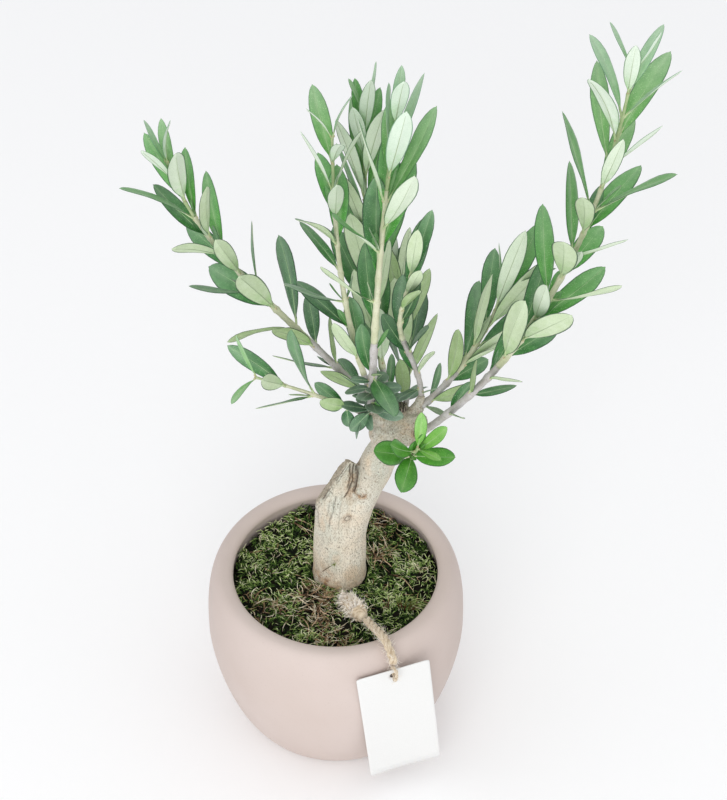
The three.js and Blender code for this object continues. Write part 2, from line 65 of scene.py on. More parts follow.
# Planter, with its inside as radius and height
POT_RADIUS = 92
POT_HEIGHT = 136.8
POT_WIDEST_Z = 83.8
FOOT_RADIUS = 65.3
FOOT_RING = 8
FOOT_HOLLOW = 0.8
FOOT_BEVEL = 1.6
RIM_RADIUS = 79.2
MOUTH_RADIUS = 72.5
LIP_DROP = 4.5
BELLY_POWER = 1.48
SHOULDER_POWER = 2.5
POT_INSIDE = [
    (73.1, 130), (74.5, 126), (74.5, 112), (81, 102), (82, 82), (77, 50), (69.5, 25), (61, 12), (0, 12),
]
POT_SIDES = 160

# Moss
MOSS_RADIUS = 74.2
MOSS_BOTTOM = 115.3
MOSS_Z = 123.5
MOSS_BUMP = 2.2
BED_SIDES = 140
BED_RINGS = 44
BED_DROP = 2.4
BED_RELIEF = 1.8
BED_EDGE = (4, 2.2)  # how wide its rounded edge is, and how far it falls
TRUNK_FOOT = (3.2, 10)
TRUNK_FOOT_RADIUS = 19.4
TUFTS = 1900
TUFTS_ROUND_TRUNK = 240
ROUND_TRUNK = (0.8, 3.5)  # how far those stand from it
LEAN_OUT = 5  # strands this near the trunk lean away from it
TUFT_STRANDS = 6
TUFT_SPREAD = 1.3
TUFT_TURN = 65  # degrees
RIM_MARGIN = 1.2
GAP_BELOW = -0.13  # no strand stands where the noise is lower
STRAND_SINK = 3.4
STRAND_HUMPS = 2
# Strands stand higher at the back: past a radius, over a stretch, by a Y, and by how much
BANK = (60, 12, 40, 3.4)
# Strands, as ranges for brown ones and for green ones: length, angle above the level where they start and
# where they end, and thickness
STRAND_RANGES = [
    ((8, 17), (4.6, 8.6)), ((20, 75), (45, 88)), ((-70, 20), (-75, 25)), ((0.24, 0.42), (0.28, 0.48)),
]
STRAND_CURLS = (110, 70)
STRAND_TAPER = ([0, 0.2, 0.4, 0.6, 0.8, 1], [0.75, 1, 1, 0.85, 0.6, 0.2])
DRY_SHARE = 0.55  # of the brown strands, and the others are straw
SHADES = [-0.1, 0.3]  # deep green below, green, and bright above
# Brown patches, as X, Y and radius
BROWN_PLACES = [
    (-14, -15, 9), (-11, -31, 11), (39, 57, 9), (28, 24, 7), (-52, -30, 9), (2, -58, 10), (62, 4, 5),
]
BROWN_THERE = 0.7
BROWN_ANYWHERE = 0.03
# Rootlets that lie on the moss, as X and Y of the foot, heading, length and how far they turn, in degrees
ROOTLETS = [
    (38, 5, 62, 27, -35), (-17, -6, 30, 16, 160), (-22, -10, 50, 20, -150), (-14, -16, 20, 22, 120),
    (-10, -24, -40, 18, 140), (-16, -28, 60, 24, -120), (-24, -20, 80, 22, 90), (-8, -36, 10, 16, 170),
    (-30, -34, 70, 26, -80), (-20, -40, 95, 28, 60), (-19, -14, -20, 18, -130), (-38, 66, 52, 22, 12),
    (-40, 62, 58, 24, -14), (-35, 60, 60, 20, 18), (-34, 55, 66, 19, -22), (-26, 22, -70, 15, 60),
    (26, 26, 30, 19, -50), (31, 22, 20, 16, 40),
]
# Long arching strands that spread from one place, by heading, and a sprig with a tuft that leans on the trunk
FAN_PLACE = (49, -29)
FAN_HEADINGS = range(60, 250, 14)
SPRIG_FOOT = (-9, -5.6, 136.6)
SPRIG_TIP = (-0.6, -9.9, 148.4)
SPRIG_STRANDS = 9
LONG_ROWS = 14
ARCH_ROWS = 10
# The strands' looks: dark where they root, which is painted shade deep in the mat, their body, and
# brighter at their tips, partly their own bleached tips and partly a painted highlight
MOSS_LOOKS = {
    "moss_deep": ((2, 4, 1), (20, 40, 10), (84, 120, 44)),
    "moss_green": ((2, 5, 1), (68, 112, 32), (196, 222, 132)),
    "moss_bright": ((5, 10, 2), (158, 192, 90), (255, 254, 216)),
    "moss_dry": ((8, 5, 3), (106, 76, 50), (206, 174, 136)),
    "moss_straw": ((14, 10, 5), (214, 194, 158), (255, 248, 226)),
    "moss_rootlets": ((60, 40, 26), (150, 114, 84), (236, 206, 172)),
    "moss_fan": ((90, 50, 24), (96, 122, 48), (206, 220, 146)),
    "moss_sprig": ((96, 70, 44), (84, 72, 48), (92, 104, 56)),
}

# Trunk and limb: the middle at some heights, with the half widths across X and Y there
TRUNK = [
    ((3.3, 10, 115.3), (21.8, 22)),
    ((3.1, 10, 124), (19, 19.4)),
    ((3.3, 10, 150), (18.6, 18.8)),
    ((3, 9.5, 178), (17.3, 17.4)),
    ((2.8, 8.5, 205), (15.6, 15.6)),
    ((3, 7.7, 226), (14, 13.8)),
    ((4.5, 7, 246), (13, 12.8)),
]
LIMB = [
    ((4.6, 10, 138), (15.2, 16)),
    ((7.9, 9, 165), (14.6, 15)),
    ((13.2, 8, 187), (13.3, 13.4)),
    ((19.2, 6.5, 204), (12.5, 12.5)),
    ((24.7, 5, 221), (12.6, 12)),
    ((30.3, 3, 240), (12.1, 11.6)),
    ((35.4, 1.5, 253), (11.2, 11)),
    ((38.4, 0.8, 259.5), (13.4, 12)),
    ((41.6, 0.5, 266), (18.4, 13.4)),
    ((44.4, 1, 273), (18.2, 13)),
    ((47, 1.5, 278.5), (14, 9.5)),
    ((49, 2, 281.5), (8, 5.5)),
]
WOOD_SIDES = 64
WOOD_LOBE = 0.03
WOOD_ROWS_EACH = 8
SAW_POINT = (8, 18, 224.5)
SAW_NORMAL = (-0.84, 0.315, 0.45)
BREAK_POINT = (7.4, 2, 239.7)
BREAK_NORMAL = (0.41, 0.63, 0.65)
KNUCKLE = (43.5, 1, 270)
COLLAR_ROOT = 5.5
COLLAR_PROUD = 0.5
COLLAR_BEND = 4
SNAG_FOOT = (42.5, 4, 270)
SNAG_TIP = (43, 6.5, 284.5)
SNAG_RADIUS = 6
SNAG_RIDGES = 13
SNAG_SIDES = 72
BARK_VOXEL = 0.6
BARK_SMOOTHING = 3

# Cracks in the wood, drawn on its front or back as X and height, with their half width, depth and darkness
CRACKS = {
    "front": [
        ([(13.9, 237), (13.2, 229), (12.6, 222), (10.1, 215.5), (7.4, 211)], 0.5, 1.1, 0.9),
        ([(11.5, 239), (11.2, 233.7), (11.6, 228.6), (10.2, 224), (9.6, 218)], 0.45, 0.9, 0.85),
        ([(15.6, 234), (15.2, 226), (14.4, 219), (12.6, 213)], 0.45, 0.9, 0.85),
        ([(1.3, 212), (-0.1, 205.8), (-0.7, 199), (-3, 189), (-3.8, 183)], 0.34, 0.5, 0.55),
        ([(-4.9, 216.4), (-3, 216), (-1.3, 214.9)], 0.34, 0.6, 0.8),
        ([(-2.8, 222), (-1.8, 220.4), (-0.7, 219.6)], 0.34, 0.6, 0.7),
        ([(7.4, 243), (4.1, 238.8), (0.2, 230), (-3.4, 221.6), (-6.9, 213), (-8.4, 205.8)], 0.42, 0.7, 0.7),
        ([(-11.7, 190), (-11.4, 182), (-11, 176)], 0.34, 0.4, 0.5),
        ([(-5.4, 217.5), (-7, 213), (-8, 208.5)], 1.1, 1.5, 0.85),
        ([(-1.2, 238), (-4, 229), (-7.6, 219)], 0.3, 0.4, 0.5),
        ([(3.6, 236), (2.4, 229), (1.9, 224)], 0.3, 0.3, 0.4),
        ([(-3.4, 207), (-4.4, 199), (-5, 192)], 0.3, 0.35, 0.4),
        ([(4.8, 205), (3.6, 197), (3, 189), (2.6, 181)], 0.3, 0.3, 0.35),
    ],
    "back": [
        ([(14, 230), (14.5, 216), (13, 202)], 0.8, 1.6, 0.9),
        ([(7, 222), (6, 206), (8, 190)], 0.5, 1.0, 0.8),
        ([(20, 205), (14, 186), (9, 165)], 0.4, 0.7, 0.6),
        ([(36, 250), (38, 262), (42, 272)], 0.4, 0.7, 0.6),
    ],
}
# Scars of old shoots, drawn the same way: the middle, the ring's radius and height, and its stain
SCARS = {
    "front": [((18.8, 212.3), 2.1, 0.7, 0.9), ((8.8, 190.4), 2.9, 0.15, 0.35), ((54, 274), 2.6, 0.6, 0.6)],
    "back": [((22, 214), 2.2, 0.8, 0.6), ((-4, 172), 2.4, 0.6, 0.3)],
}
PITS = [(5.1, 229.7), (19.8, 236.8), (20.7, 229), (12.1, 196.8), (2.8, 164.4), (-6, 160), (31, 246)]

# Shoots, with the same names, sizes and seeds as in the model. Tone and bark go from the foot to the tip,
# and basal is the number of short leaves at the foot
SHOOT_KEYS = "foot length girth heading rise nodes first phase seed leaf open tone bark basal".split()
SHOOT_ROWS = {
    "centre": ((25, -6, 290), 207, 2.6, (161, 146), (86, 78),
        12, 6, 47, 32446, 61, (67, 14), (0.9, 4.3), (0, 1.9), 14),
    "left_rear": ((29, -1, 287), 194, 2.1, (-128, -177), (62, 87),
        10, 14, 102, 2, 52, (58, 22), (1, 3.2), (0.3, 1.9), 5),
    "rear": ((38, 7, 281), 201, 2.1, (-158, -177), (52, 88),
        13, 10, 27, 85321, 57, (30, 19), (1, 3.4), (0.3, 1.9), 2),
    "right_rear": ((58, 8, 291), 136, 1.9, (-173, 189), (65, 85),
        9, 15, 112, 26355, 48, (34, 14), (0.2, 2.2), (0, 1.5), 3),
    "mid_right": ((58, 6, 283), 95, 2.3, (124, 136), (21, 63),
        7, 6, 175, 17106, 59.5, (45, 27), (0.3, 2.6), (0, 1.5), 2),
    "right": ((56, -5, 268), 295, 2.5, (80, 145), (46, 80),
        17, 29, 19, 24171, 58.5, (45, 29), (0.9, 4.5), (0, 1.9), 1),
    "left": ((27, 6, 284), 227, 2.5, (-136, -67), (20, 78),
        13, 14, 36, 56320, 60, (47, 14), (0, 3.7), (0, 1.9), 2),
    "low_left": ((23, -4, 284), 89, 1.5, (-79, -72), (37, 31),
        4, 18, 16, 60579, 49, (30, 38), (0.3, 2.9), (0, 1.9), 4),
    "sprout": ((46, -13, 258), 32, 1.4, (10, 45), (28, 67),
        5, 10, 65, 66029, 40, (49, 35), (4.8, 6.4), (0.6, 1.9), 0),
    "rear_low": ((47, 7, 274), 100, 1.8, (171, 200), (16, 60),
        7, 11, 64, 12811, 53, (36, 14), (0, 1.6), (0, 1.5), 2),
}
SHOOTS = {
    name: dict(zip(SHOOT_KEYS, row), name=name, broad=1, wood=KNUCKLE)
    for name, row in SHOOT_ROWS.items()
}
SHOOTS["sprout"].update(broad=1.25, wood=(35, 2, 248))
STEM_STEP = 8
STEM_TIP = 0.75
STEM_FINENESS = 1.5
TIP_BARE = 1
# The rule that deals out leaves along a shoot, as in the model, with t from 0 at the first pair to 1 at the
# last. A spread is a random range's width, in degrees where it turns something, and a pair is a range's low
# end and its width
SPACING = 0.92  # power of t, so that pairs stand closer towards the tip
PAIR_SPREAD = 36
ROLL_SPREAD = 40
OPENING = (0.72, 0.62)
LENGTH = (0.8, 0.34)
WIDTH = (0.86, 0.28)
WIDTH_FALL = (0.34, 0.1, 1.4)  # at the foot, how much less further up, and how fast
CURVE_MIDDLE = 0.42
CURVE_SPREAD = 52
TWIST_SPREAD = 63
SIZE = (0.52, 1.9, 0.62, 2.2)  # at the foot, its growth, at the tip, and its fall
# Its random numbers: each is the one before times the factor, kept under the limit, and the first are skipped
SEED_FACTOR = 16807
SEED_LIMIT = 2147483647
SEED_SKIPS = 3
# Small leaves in the axils, which the model leaves out: how often, where, and how far they open
AXIL_CHANCE = 0.45
AXIL_PLACES = (0.05, 0.9)
AXIL_OPENING = 0.55
STATIONS = np.array([0, 0.1, 0.22, 0.38, 0.55, 0.72, 0.88, 1.0])
WIDTHS = np.array([0.1, 0.14, 0.58, 0.9, 1.0, 0.92, 0.58, 0.04])
CLOSINGS = (1.0, 0.7, 0.45)
TESTED = [2, 4, 6, 7]
SPACE_MARGIN = 1.0
WOOD_MARGIN = 1.5
THICK_WOOD = [
    ((3.5, 11, 120), (1, 9, 222), 18.5),
    ((6.5, 8, 150), (25, 5, 221), 16.5),
    ((25, 5, 221), (36.5, 1.5, 254), 13),
    ((41, 0.5, 263), (45.5, 1, 273), 18.5),
]
CURVE_FROM = 0.2
# What the short leaves at a shoot's foot keep clear of: the knuckle, with its width across X cut to its depth
KNUCKLE_LINE = np.linspace((40, 0.6, 261), (47, 1.5, 274), 8)
KNUCKLE_FLAT = np.array([0.75, 1, 1])
KNUCKLE_REACH = 14
# Short leaves that show in front of the knuckle: tone, foot, tip, the width for the length, and a turn
KNUCKLE_LEAVES = [
    ("deep", (24.6, -8.4, 292.5), (11.1, -15, 279.8), 0.5, 0.1),
    ("deep", (9, -8, 294.9), (10.4, -10, 277.8), 0.54, -0.3),
    ("spoon", (7.3, -8, 296), (-3.7, -11, 296.4), 0.56, 0.5),
    ("spoon", (25.4, -8.4, 294), (45.4, -17, 294.5), 0.42, -0.2),
    ("green", (25.2, -8.4, 299.5), (39.5, -15, 306.1), 0.4, 0.5),
]
FORWARD = np.array([0, -0.74, 0.67])

# Leaves as the scene shows them. Widths and folds change from the old leaves at a foot to the young ones
BLADE_ROWS = np.array([0.1, 0.14, 0.19, 0.26, 0.35, 0.45, 0.56, 0.67, 0.77, 0.86, 0.93, 0.97, 0.985, 1.0])
OLD_WIDTHS = np.array([0.13, 0.22, 0.42, 0.66, 0.83, 0.95, 1.0, 0.98, 0.89, 0.71, 0.48, 0.26, 0.1, 0.03])
YOUNG_WIDTHS = np.array([0.13, 0.22, 0.41, 0.62, 0.8, 0.92, 0.99, 1.0, 0.91, 0.71, 0.46, 0.24, 0.09, 0.02])
BLADE_COLUMNS = np.array([-1, -0.9, -0.55, -0.2, 0, 0.2, 0.55, 0.9, 1.0])
FOLDS = (0.14, 0.26)
MARGIN_ROLL = 0.14
BLADE_THICK = 0.42
MARGIN_WAVES = 9
MARGIN_WAVE = 0.07
RIB_ROWS = np.linspace(0.1, 0.94, 9)
RIB_PROUD = 0.02
PETIOLE_ROWS = np.array([0, 0.035, 0.07, 0.11, 0.16])
PETIOLE_SINK = 0.2
PETIOLE_TAPER = [1.25, 1.0, 0.95, 0.95, 0.6]
BUD_ROWS = np.array([0, 0.3, 0.6, 0.85, 1.0])
BUD_RADII = np.array([[0.5, 0.75, 0.65, 0.35, 0.08]])
NODE_SWELL = (0.22, 0.12)  # of the girth, and besides
NODE_REACH = 1.6
TONE_POWER = 2.1
TONE_SPREAD = 0.35
# Colours by tone: the upper side with its streaks and specks, the specks there a painted sheen,
# the underside with its own, and the margin
LEAF_COLOURS = {
    "deep": (
        ((42, 94, 50), (62, 116, 68), (148, 182, 144)),
        ((160, 186, 130), (176, 200, 148), (202, 218, 178)), (30, 62, 42),
    ),
    "dark": (
        ((52, 114, 54), (76, 138, 72), (158, 192, 148)),
        ((196, 213, 174), (206, 221, 188), (218, 230, 204)), (38, 78, 46),
    ),
    "green": (
        ((78, 152, 64), (102, 170, 84), (178, 214, 158)),
        ((213, 226, 203), (219, 231, 210), (228, 237, 218)), (52, 100, 54),
    ),
    "light": (
        ((112, 170, 96), (134, 186, 116), (196, 222, 176)),
        ((216, 229, 212), (222, 233, 218), (230, 239, 225)), (78, 124, 76),
    ),
    "young": (
        ((148, 192, 146), (168, 208, 162), (214, 232, 208)),
        ((213, 229, 211), (220, 234, 218), (230, 240, 228)), (110, 152, 120),
    ),
    "fresh": (
        ((66, 140, 36), (88, 162, 54), (158, 206, 116)),
        ((120, 172, 84), (138, 186, 100), (176, 212, 140)), (40, 96, 30),
    ),
    "spring": (
        ((118, 182, 76), (140, 198, 98), (192, 226, 148)),
        ((146, 194, 108), (162, 206, 124), (188, 218, 154)), (80, 140, 50),
    ),
    "spoon": (
        ((50, 88, 60), (70, 110, 80), (140, 166, 146)),
        ((132, 158, 124), (148, 172, 138), (176, 194, 168)), (128, 150, 130),
    ),
}
TONES = list(LEAF_COLOURS)
HAZE = {"young": 0.6, "light": 0.4, "fresh": 0.1, "spring": 0.1}
TWIG_LOOKS = {
    "twigs_grey": ("twig_bark", (200, 196, 196), (172, 166, 160), (118, 108, 96)),
    "twigs_pale": ("twig_pale", (212, 212, 186), (192, 196, 160), (146, 142, 116)),
    "twigs_green": ("twig_green", (190, 202, 160), (172, 188, 140), (134, 144, 106)),
}

# Plain surfaces: their colour, another in spots over it, and their roughness
PLAIN_LOOKS = {
    "rib_upper": ((176, 206, 158), (160, 194, 142), 0.5),
    "rib_lower": ((166, 184, 148), (180, 194, 164), 0.6),
    "petiole": ((196, 210, 166), (178, 196, 146), 0.6),
    "bud": ((206, 200, 164), (176, 160, 124), 0.7),
    "jute_fibre": ((252, 247, 240), (238, 226, 208), 0.8),
}

# Twine and tag
TWINE_RADIUS = 3.1
TWINE_PITCH = 17
TWINE_HEADING = 25.4
TWINE_TOP = (80, 140.6)
TWINE_BEND = 14
TWINE_DROP = 74
TWINE_BENDS = 5
TWINE_ROUTE = [(51.5, 131.5), (59, 133.6), (68, 137.6)]
KNOT_FROM = (5.5, -22.5, 129)
KNOT_TO = (20.2, -44.3, 130.6)
ROPE_PLY = {2: 0.56, 3: 0.5}  # a ply's radius for the rope's, by the number of plies
ROPE_YARN = 0.42  # a yarn's radius for its ply's
ROPE_COUNTER = 0.55  # the yarns' pitch for the rope's
KNOT_CORE = ([0, 0.25, 0.6, 1], [1.6, 4.3, 4.6, 3.0])
KNOT_WIRE = 2.1
KNOT_PITCH = 12
# The knot's rings: where along it, their tilt in degrees and their radius
KNOT_RINGS = [(0.36, 24, 4.2), (0.52, -20, 4.6), (0.68, 18, 4.5), (0.84, -12, 3.6)]
# Its frayed ends: how many, their lengths, thickness, curl and sides
KNOT_FRAYS = [(330, (4, 9), 0.36, 0.8, 5), (520, (3, 9), 0.14, 0.6, 3)]
TWINE_HAIRS = 260
EYE_HAIRS = 150
HAIR_THICK = 0.1
HAIR_CURL = 0.5
FIBRE_TAPER = np.array([1, 1, 0.95, 0.9, 0.8, 0.6, 0.3])
TAG_WIDTH = 52
TAG_HEIGHT = 109
TAG_THICK = 0.8
TAG_SOFT = 0.15
TAG_BOW = 1.1
TAG_GAP = 0.3
TAG_CORNER = 2
TAG_HOLE = 2.6
TAG_HOLE_DROP = 5.4
TAG_HEADING = 16
TAG_ASKEW = 5.5
TAG_HOLE_Z = 118.7
TAG_STEPS = 14  # from the hole to the outline
TAG_BOW_REACH = 60
EYE_RADIUS = 4.6
EYE_WIRE = 1.4
EYE_PITCH = 9
EYE_FORWARD = 2


# Numbers and lines


def share(values):
    """Values kept from 0 to 1."""
    return np.clip(values, 0, 1)


def bell(values):
    """1 at 0, falling to 0 on both sides."""
    return np.exp(-(values**2))


def from_to(ends, t):
    return ends[0] + (ends[1] - ends[0]) * t


def unit(vectors):
    vectors = np.asarray(vectors, float)
    return vectors / np.maximum(np.linalg.norm(vectors, axis=-1, keepdims=True), 1e-12)


def way_along(line):
    """How far along a line each of its points is."""
    return np.concatenate([[0], np.cumsum(np.linalg.norm(np.diff(line, axis=0), axis=1))])


def smooth_between(at, known_at, known):
    """Values at some places from a few known ones, on a smooth curve through them."""
    known_at = np.asarray(known_at, float)
    known = np.asarray(known, float)
    slopes = np.gradient(known, known_at, axis=0)
    i = np.clip(np.searchsorted(known_at, at, side="right") - 1, 0, len(known_at) - 2)
    gap = (known_at[i + 1] - known_at[i])[:, None]
    t = (at - known_at[i])[:, None] / gap
    start = known[i] * (1 + 2 * t) * (1 - t) ** 2 + slopes[i] * gap * t * (1 - t) ** 2
    return start + known[i + 1] * t**2 * (3 - 2 * t) + slopes[i + 1] * gap * t**2 * (t - 1)


def spaced_along(points, count):
    """Points at equal steps along a smooth curve through some points."""
    points = np.asarray(points, float)
    way = way_along(points)
    fine = smooth_between(np.linspace(0, way[-1], 40 * len(points)), way, points)
    fine_way = way_along(fine)
    at = np.linspace(0, fine_way[-1], count)
    return np.stack([np.interp(at, fine_way, column) for column in fine.T], 1)


def frames_along(lines):
    """Tangents of some lines, and two directions across them that are carried along without twist."""
    tangents = unit(np.gradient(lines, axis=1))
    across = unit(np.cross(tangents[:, 0], (0.31, 0.52, 0.79)))
    normals = [across]
    for k in range(1, lines.shape[1]):
        along = tangents[:, k]
        across = unit(across - (across * along).sum(1, keepdims=True) * along)
        normals.append(across)
    normals = np.stack(normals, 1)
    return tangents, normals, np.cross(tangents, normals)


# Shapes, as arrays of points and of triangles


def angles_round(sides):
    return TURN * np.arange(sides) / sides


def circle(angles):
    return np.stack([np.cos(angles), np.sin(angles), 0 * angles], 1)


def grid_faces(rows, columns):
    """Triangles over rings of points."""
    k, i = np.meshgrid(np.arange(rows - 1), np.arange(columns), indexing="ij")
    a = (k * columns + i).ravel()
    b = (k * columns + (i + 1) % columns).ravel()
    return np.concatenate([np.stack([a, b, b + columns], 1), np.stack([a, b + columns, a + columns], 1)])


def body_faces(rows, columns):
    """Triangles over rings of points, with the first and the last ring closed."""
    i = np.arange(1, columns - 1)
    last = (rows - 1) * columns
    ends = [np.stack([0 * i, i + 1, i], 1), np.stack([0 * i + last, last + i, last + i + 1], 1)]
    return np.concatenate([grid_faces(rows, columns), *ends])


def axis_between(start, end):
    """The first of two points, the direction to the second, and how far it is."""
    start, end = np.array(start, float), np.array(end, float)
    return start, unit(end - start), np.linalg.norm(end - start)


def round_axis(angles, across, up):
    """Directions at some angles between two that stand square to each other."""
    return np.cos(angles)[:, None] * across + np.sin(angles)[:, None] * up


def body(rings):
    """A closed body over rings of points."""
    rings = np.asarray(rings)
    return rings.reshape(-1, 3), body_faces(*rings.shape[:2])


def tubes(lines, radii, sides):
    """Closed tubes along many lines. lines is (tubes, points, 3) and radii is (tubes, points)."""
    lines = np.asarray(lines, float)
    count, rows = lines.shape[:2]
    radii = np.broadcast_to(radii, (count, rows))
    _, normals, binormals = frames_along(lines)
    angles = angles_round(sides)
    out = normals[:, :, None] * np.cos(angles)[:, None] + binormals[:, :, None] * np.sin(angles)[:, None]
    points = lines[:, :, None] + out * radii[:, :, None, None]
    starts = np.arange(count) * rows * sides
    return points.reshape(-1, 3), (body_faces(rows, sides) + starts[:, None, None]).reshape(-1, 3)


def turned(profile, sides):
    """A closed body turned about Z, from points of radius and height that start and end at the axis."""
    profile = np.maximum(np.asarray(profile, float), [TINY, -np.inf])
    return body(profile[:, :1, None] * circle(angles_round(sides)) + profile[:, 1:, None] * UP)


def joined(parts):
    """Several shapes as one."""
    starts = np.cumsum([0] + [len(points) for points, _ in parts])
    faces = [part_faces + start for (_, part_faces), start in zip(parts, starts)]
    return np.concatenate([points for points, _ in parts]), np.concatenate(faces)


# Blender objects


def added(name, data):
    made = bpy.data.objects.new(name, data)
    bpy.context.scene.collection.objects.link(made)
    return made


def mesh_object(name, points, faces, surfaces=(), slots=None):
    mesh = bpy.data.meshes.new(name)
    faces = np.ascontiguousarray(faces, np.int32)
    mesh.vertices.add(len(points))
    mesh.vertices.foreach_set("co", (np.asarray(points) * MM).astype(np.float32).ravel())
    mesh.loops.add(faces.size)
    mesh.loops.foreach_set("vertex_index", faces.ravel())
    mesh.polygons.add(len(faces))
    mesh.polygons.foreach_set("loop_start", np.arange(0, faces.size, 3, dtype=np.int32))
    for surface in surfaces:
        mesh.materials.append(surface.material)
    if slots is not None:
        mesh.polygons.foreach_set("material_index", np.ascontiguousarray(slots, np.int32))
    mesh.update(calc_edges=True)
    mesh.shade_smooth()
    return added(name, mesh)


def shown(name, shape, surfaces, slot, replaces=(), slots=None, **values):
    """A piece of the plant, with the record's slot that it is finished from, which is not used, the nodes
    that it stands for, and values for its points that its surface reads."""
    made = mesh_object(name, *shape, surfaces, slots)
    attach(made, "root")
    if replaces:
        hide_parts(*replaces)
    for key, numbers in values.items():
        layer = made.data.attributes.new(key, "FLOAT", "POINT")
        layer.data.foreach_set("value", np.asarray(numbers, np.float32))
    return made


# Surfaces


def linear(colour):
    """A colour given as it shows on a screen, 0 to 255, for a shader."""
    shares = [x / 255 for x in colour]
    return tuple(x / 12.92 if x <= 0.04045 else ((x + 0.055) / 1.055) ** 2.4 for x in shares) + (1.0,)


class Surface:
    """A node-based material, built up from patterns in the object's own space. Shares are from 0 to 1, and a
    colour is one on the screen, a shader's with its fourth value, or another node's."""

    FIRST, SECOND, MIXED = 6, 7, 2  # the mix node's sockets for colours

    def __init__(self, name, roughness, specular, colour):
        self.material = bpy.data.materials.new(name)
        self.material.use_nodes = True
        self.tree = self.material.node_tree
        self.shader = self.tree.nodes["Principled BSDF"].inputs
        self.shader["Roughness"].default_value = roughness
        self.shader["Specular IOR Level"].default_value = specular
        self.shader["Base Color"].default_value = linear(colour)
        self.colour = colour
        self.place = self.node("TexCoord", "Object", {})

    def node(self, kind, output, inputs, **settings):
        """A new node's output, with its inputs set to values or linked to other nodes."""
        made = self.tree.nodes.new("ShaderNode" + kind)
        for key, value in settings.items():
            setattr(made, key, value)
        for key, value in inputs.items():
            if isinstance(value, bpy.types.NodeSocket):
                self.tree.links.new(value, made.inputs[key])
            else:
                made.inputs[key].default_value = value
        return made.outputs[output]

    def stretched(self, stretch):
        if stretch == 1:
            return self.place
        return self.node("Mapping", "Vector", {"Vector": self.place, "Scale": (1, 1, stretch)})

    def noise(self, scale, detail=3, roughness=0.5, stretch=1):
        """Noise as a share, with scale in waves per metre."""
        inputs = {"Vector": self.stretched(stretch), "Scale": scale, "Detail": detail, "Roughness": roughness}
        return self.node("TexNoise", "Fac", inputs)

    def cells(self, scale):
        return self.node("TexVoronoi", "Distance", {"Vector": self.place, "Scale": scale})

    def value(self, name):
        return self.node("Attribute", "Fac", {}, attribute_name=name)

    def between(self, value, low, high):
        """The stretch from low to high as a share. low may be the larger one."""
        return self.node("MapRange", "Result", {"Value": value, "From Min": low, "From Max": high})

    def spots(self, scale, low, high, *pattern, stretch=1):
        """A share that is 0 where noise is low and 1 where it is high."""
        return self.between(self.noise(scale, *pattern, stretch=stretch), low, high)

    def times(self, value, factor):
        return self.node("Math", "Value", {0: value, 1: factor}, operation="MULTIPLY")

    def mix(self, value, *colours):
        first, second = (linear(c) if isinstance(c, tuple) and len(c) == 3 else c for c in colours)
        inputs = {0: value, self.FIRST: first, self.SECOND: second}
        return self.node("Mix", self.MIXED, inputs, data_type="RGBA")

    def lay(self, value, colour):
        """Another colour over what is there, by a share."""
        self.colour = self.mix(value, self.colour, colour)
        self.tree.links.new(self.colour, self.shader["Base Color"])

    def bump(self, height, distance):
        inputs = {"Height": height, "Distance": distance * MM, "Strength": 1.0}
        if self.shader["Normal"].is_linked:
            inputs["Normal"] = self.shader["Normal"].links[0].from_socket
        self.tree.links.new(self.node("Bump", "Normal", inputs), self.shader["Normal"])

    def rough(self, value, low, high):
        """Roughness from low to high, by a share."""
        mapped = self.node("MapRange", "Result", {"Value": value, "To Min": low, "To Max": high})
        self.tree.links.new(mapped, self.shader["Roughness"])


def painted(name, roughness, specular, colour, layers, bumps=()):
    """A surface from noise alone: layers as strength, colour and spots, and bumps as height and noise."""
    s = Surface(name, roughness, specular, colour)
    for strength, over, *spots in layers:
        s.lay(s.times(s.spots(*spots), strength), over)
    for height, *pattern in bumps:
        s.bump(s.noise(*pattern), height)
    return s


def plain(name):
    colour, other, roughness = PLAIN_LOOKS[name]
    return painted(name, roughness, 0.3, colour, [(1, other, 400, 0.35, 0.7, 2)])


def strand_surface(name, root, middle, tip):
    # The root colour is painted shade deep in the mat, and the tip's is partly a painted highlight
    s = Surface(name, 0.7, 0.3, root)
    along = s.value("along")
    s.lay(s.between(along, 0.2, 0.6), middle)
    s.lay(s.between(along, 0.35, 0.8), tip)
    s.lay(s.spots(350, 0.45, 0.75, 2), middle)
    s.bump(s.noise(2500, 2), 0.12)
    return s


def bark_surface():
    """Pale smooth olive bark: grey-green and tan patches, streaks, fine dark specks and darker cracks."""
    s = Surface("bark", 0.8, 0.3, (202, 193, 176))
    # pale is painted light: paler down the trunk, which gets less light low in the pot than the limb does
    pale = s.value("pale")
    s.lay(pale, (243, 230, 210))
    s.lay(s.spots(60, 0.36, 0.62, 4), s.mix(pale, (203, 200, 189), (238, 234, 220)))
    s.lay(s.times(s.value("green"), s.spots(90, 0.32, 0.6, stretch=0.5)), (200, 205, 192))
    s.lay(s.spots(70, 0.54, 0.7, stretch=0.6), (224, 206, 182))
    s.lay(s.times(s.spots(420, 0.48, 0.7, 4, 0.6, stretch=0.16), 0.32), (172, 158, 136))
    s.lay(s.times(s.spots(1500, 0.5, 0.63, 3, 0.7, stretch=0.4), 0.75), (150, 136, 112))
    s.lay(s.times(s.spots(1300, 0.6, 0.72, 2, 0.6), 0.6), (246, 238, 224))
    dots = s.times(s.between(s.cells(520), 0.3, 0.12), s.spots(120, 0.44, 0.6, 2))
    s.lay(s.times(dots, 0.85), (112, 100, 82))
    s.lay(s.times(s.between(s.cells(190), 0.14, 0.05), s.spots(60, 0.5, 0.6, 2)), (70, 58, 44))
    rusty = s.mix(s.spots(300, 0.4, 0.65), (206, 170, 132), (146, 106, 74))
    s.lay(s.times(s.value("stain"), s.spots(200, 0.36, 0.62, 4, 0.6)), rusty)
    s.lay(s.value("sawn"), s.mix(s.spots(500, 0.35, 0.7, stretch=0.3), (150, 138, 120), (210, 198, 178)))
    s.lay(s.value("crack"), (58, 44, 32))
    s.bump(s.noise(1300, 4, 0.7, 0.45), 0.6)
    s.bump(s.noise(230, 3, stretch=0.35), 0.3)
    return s


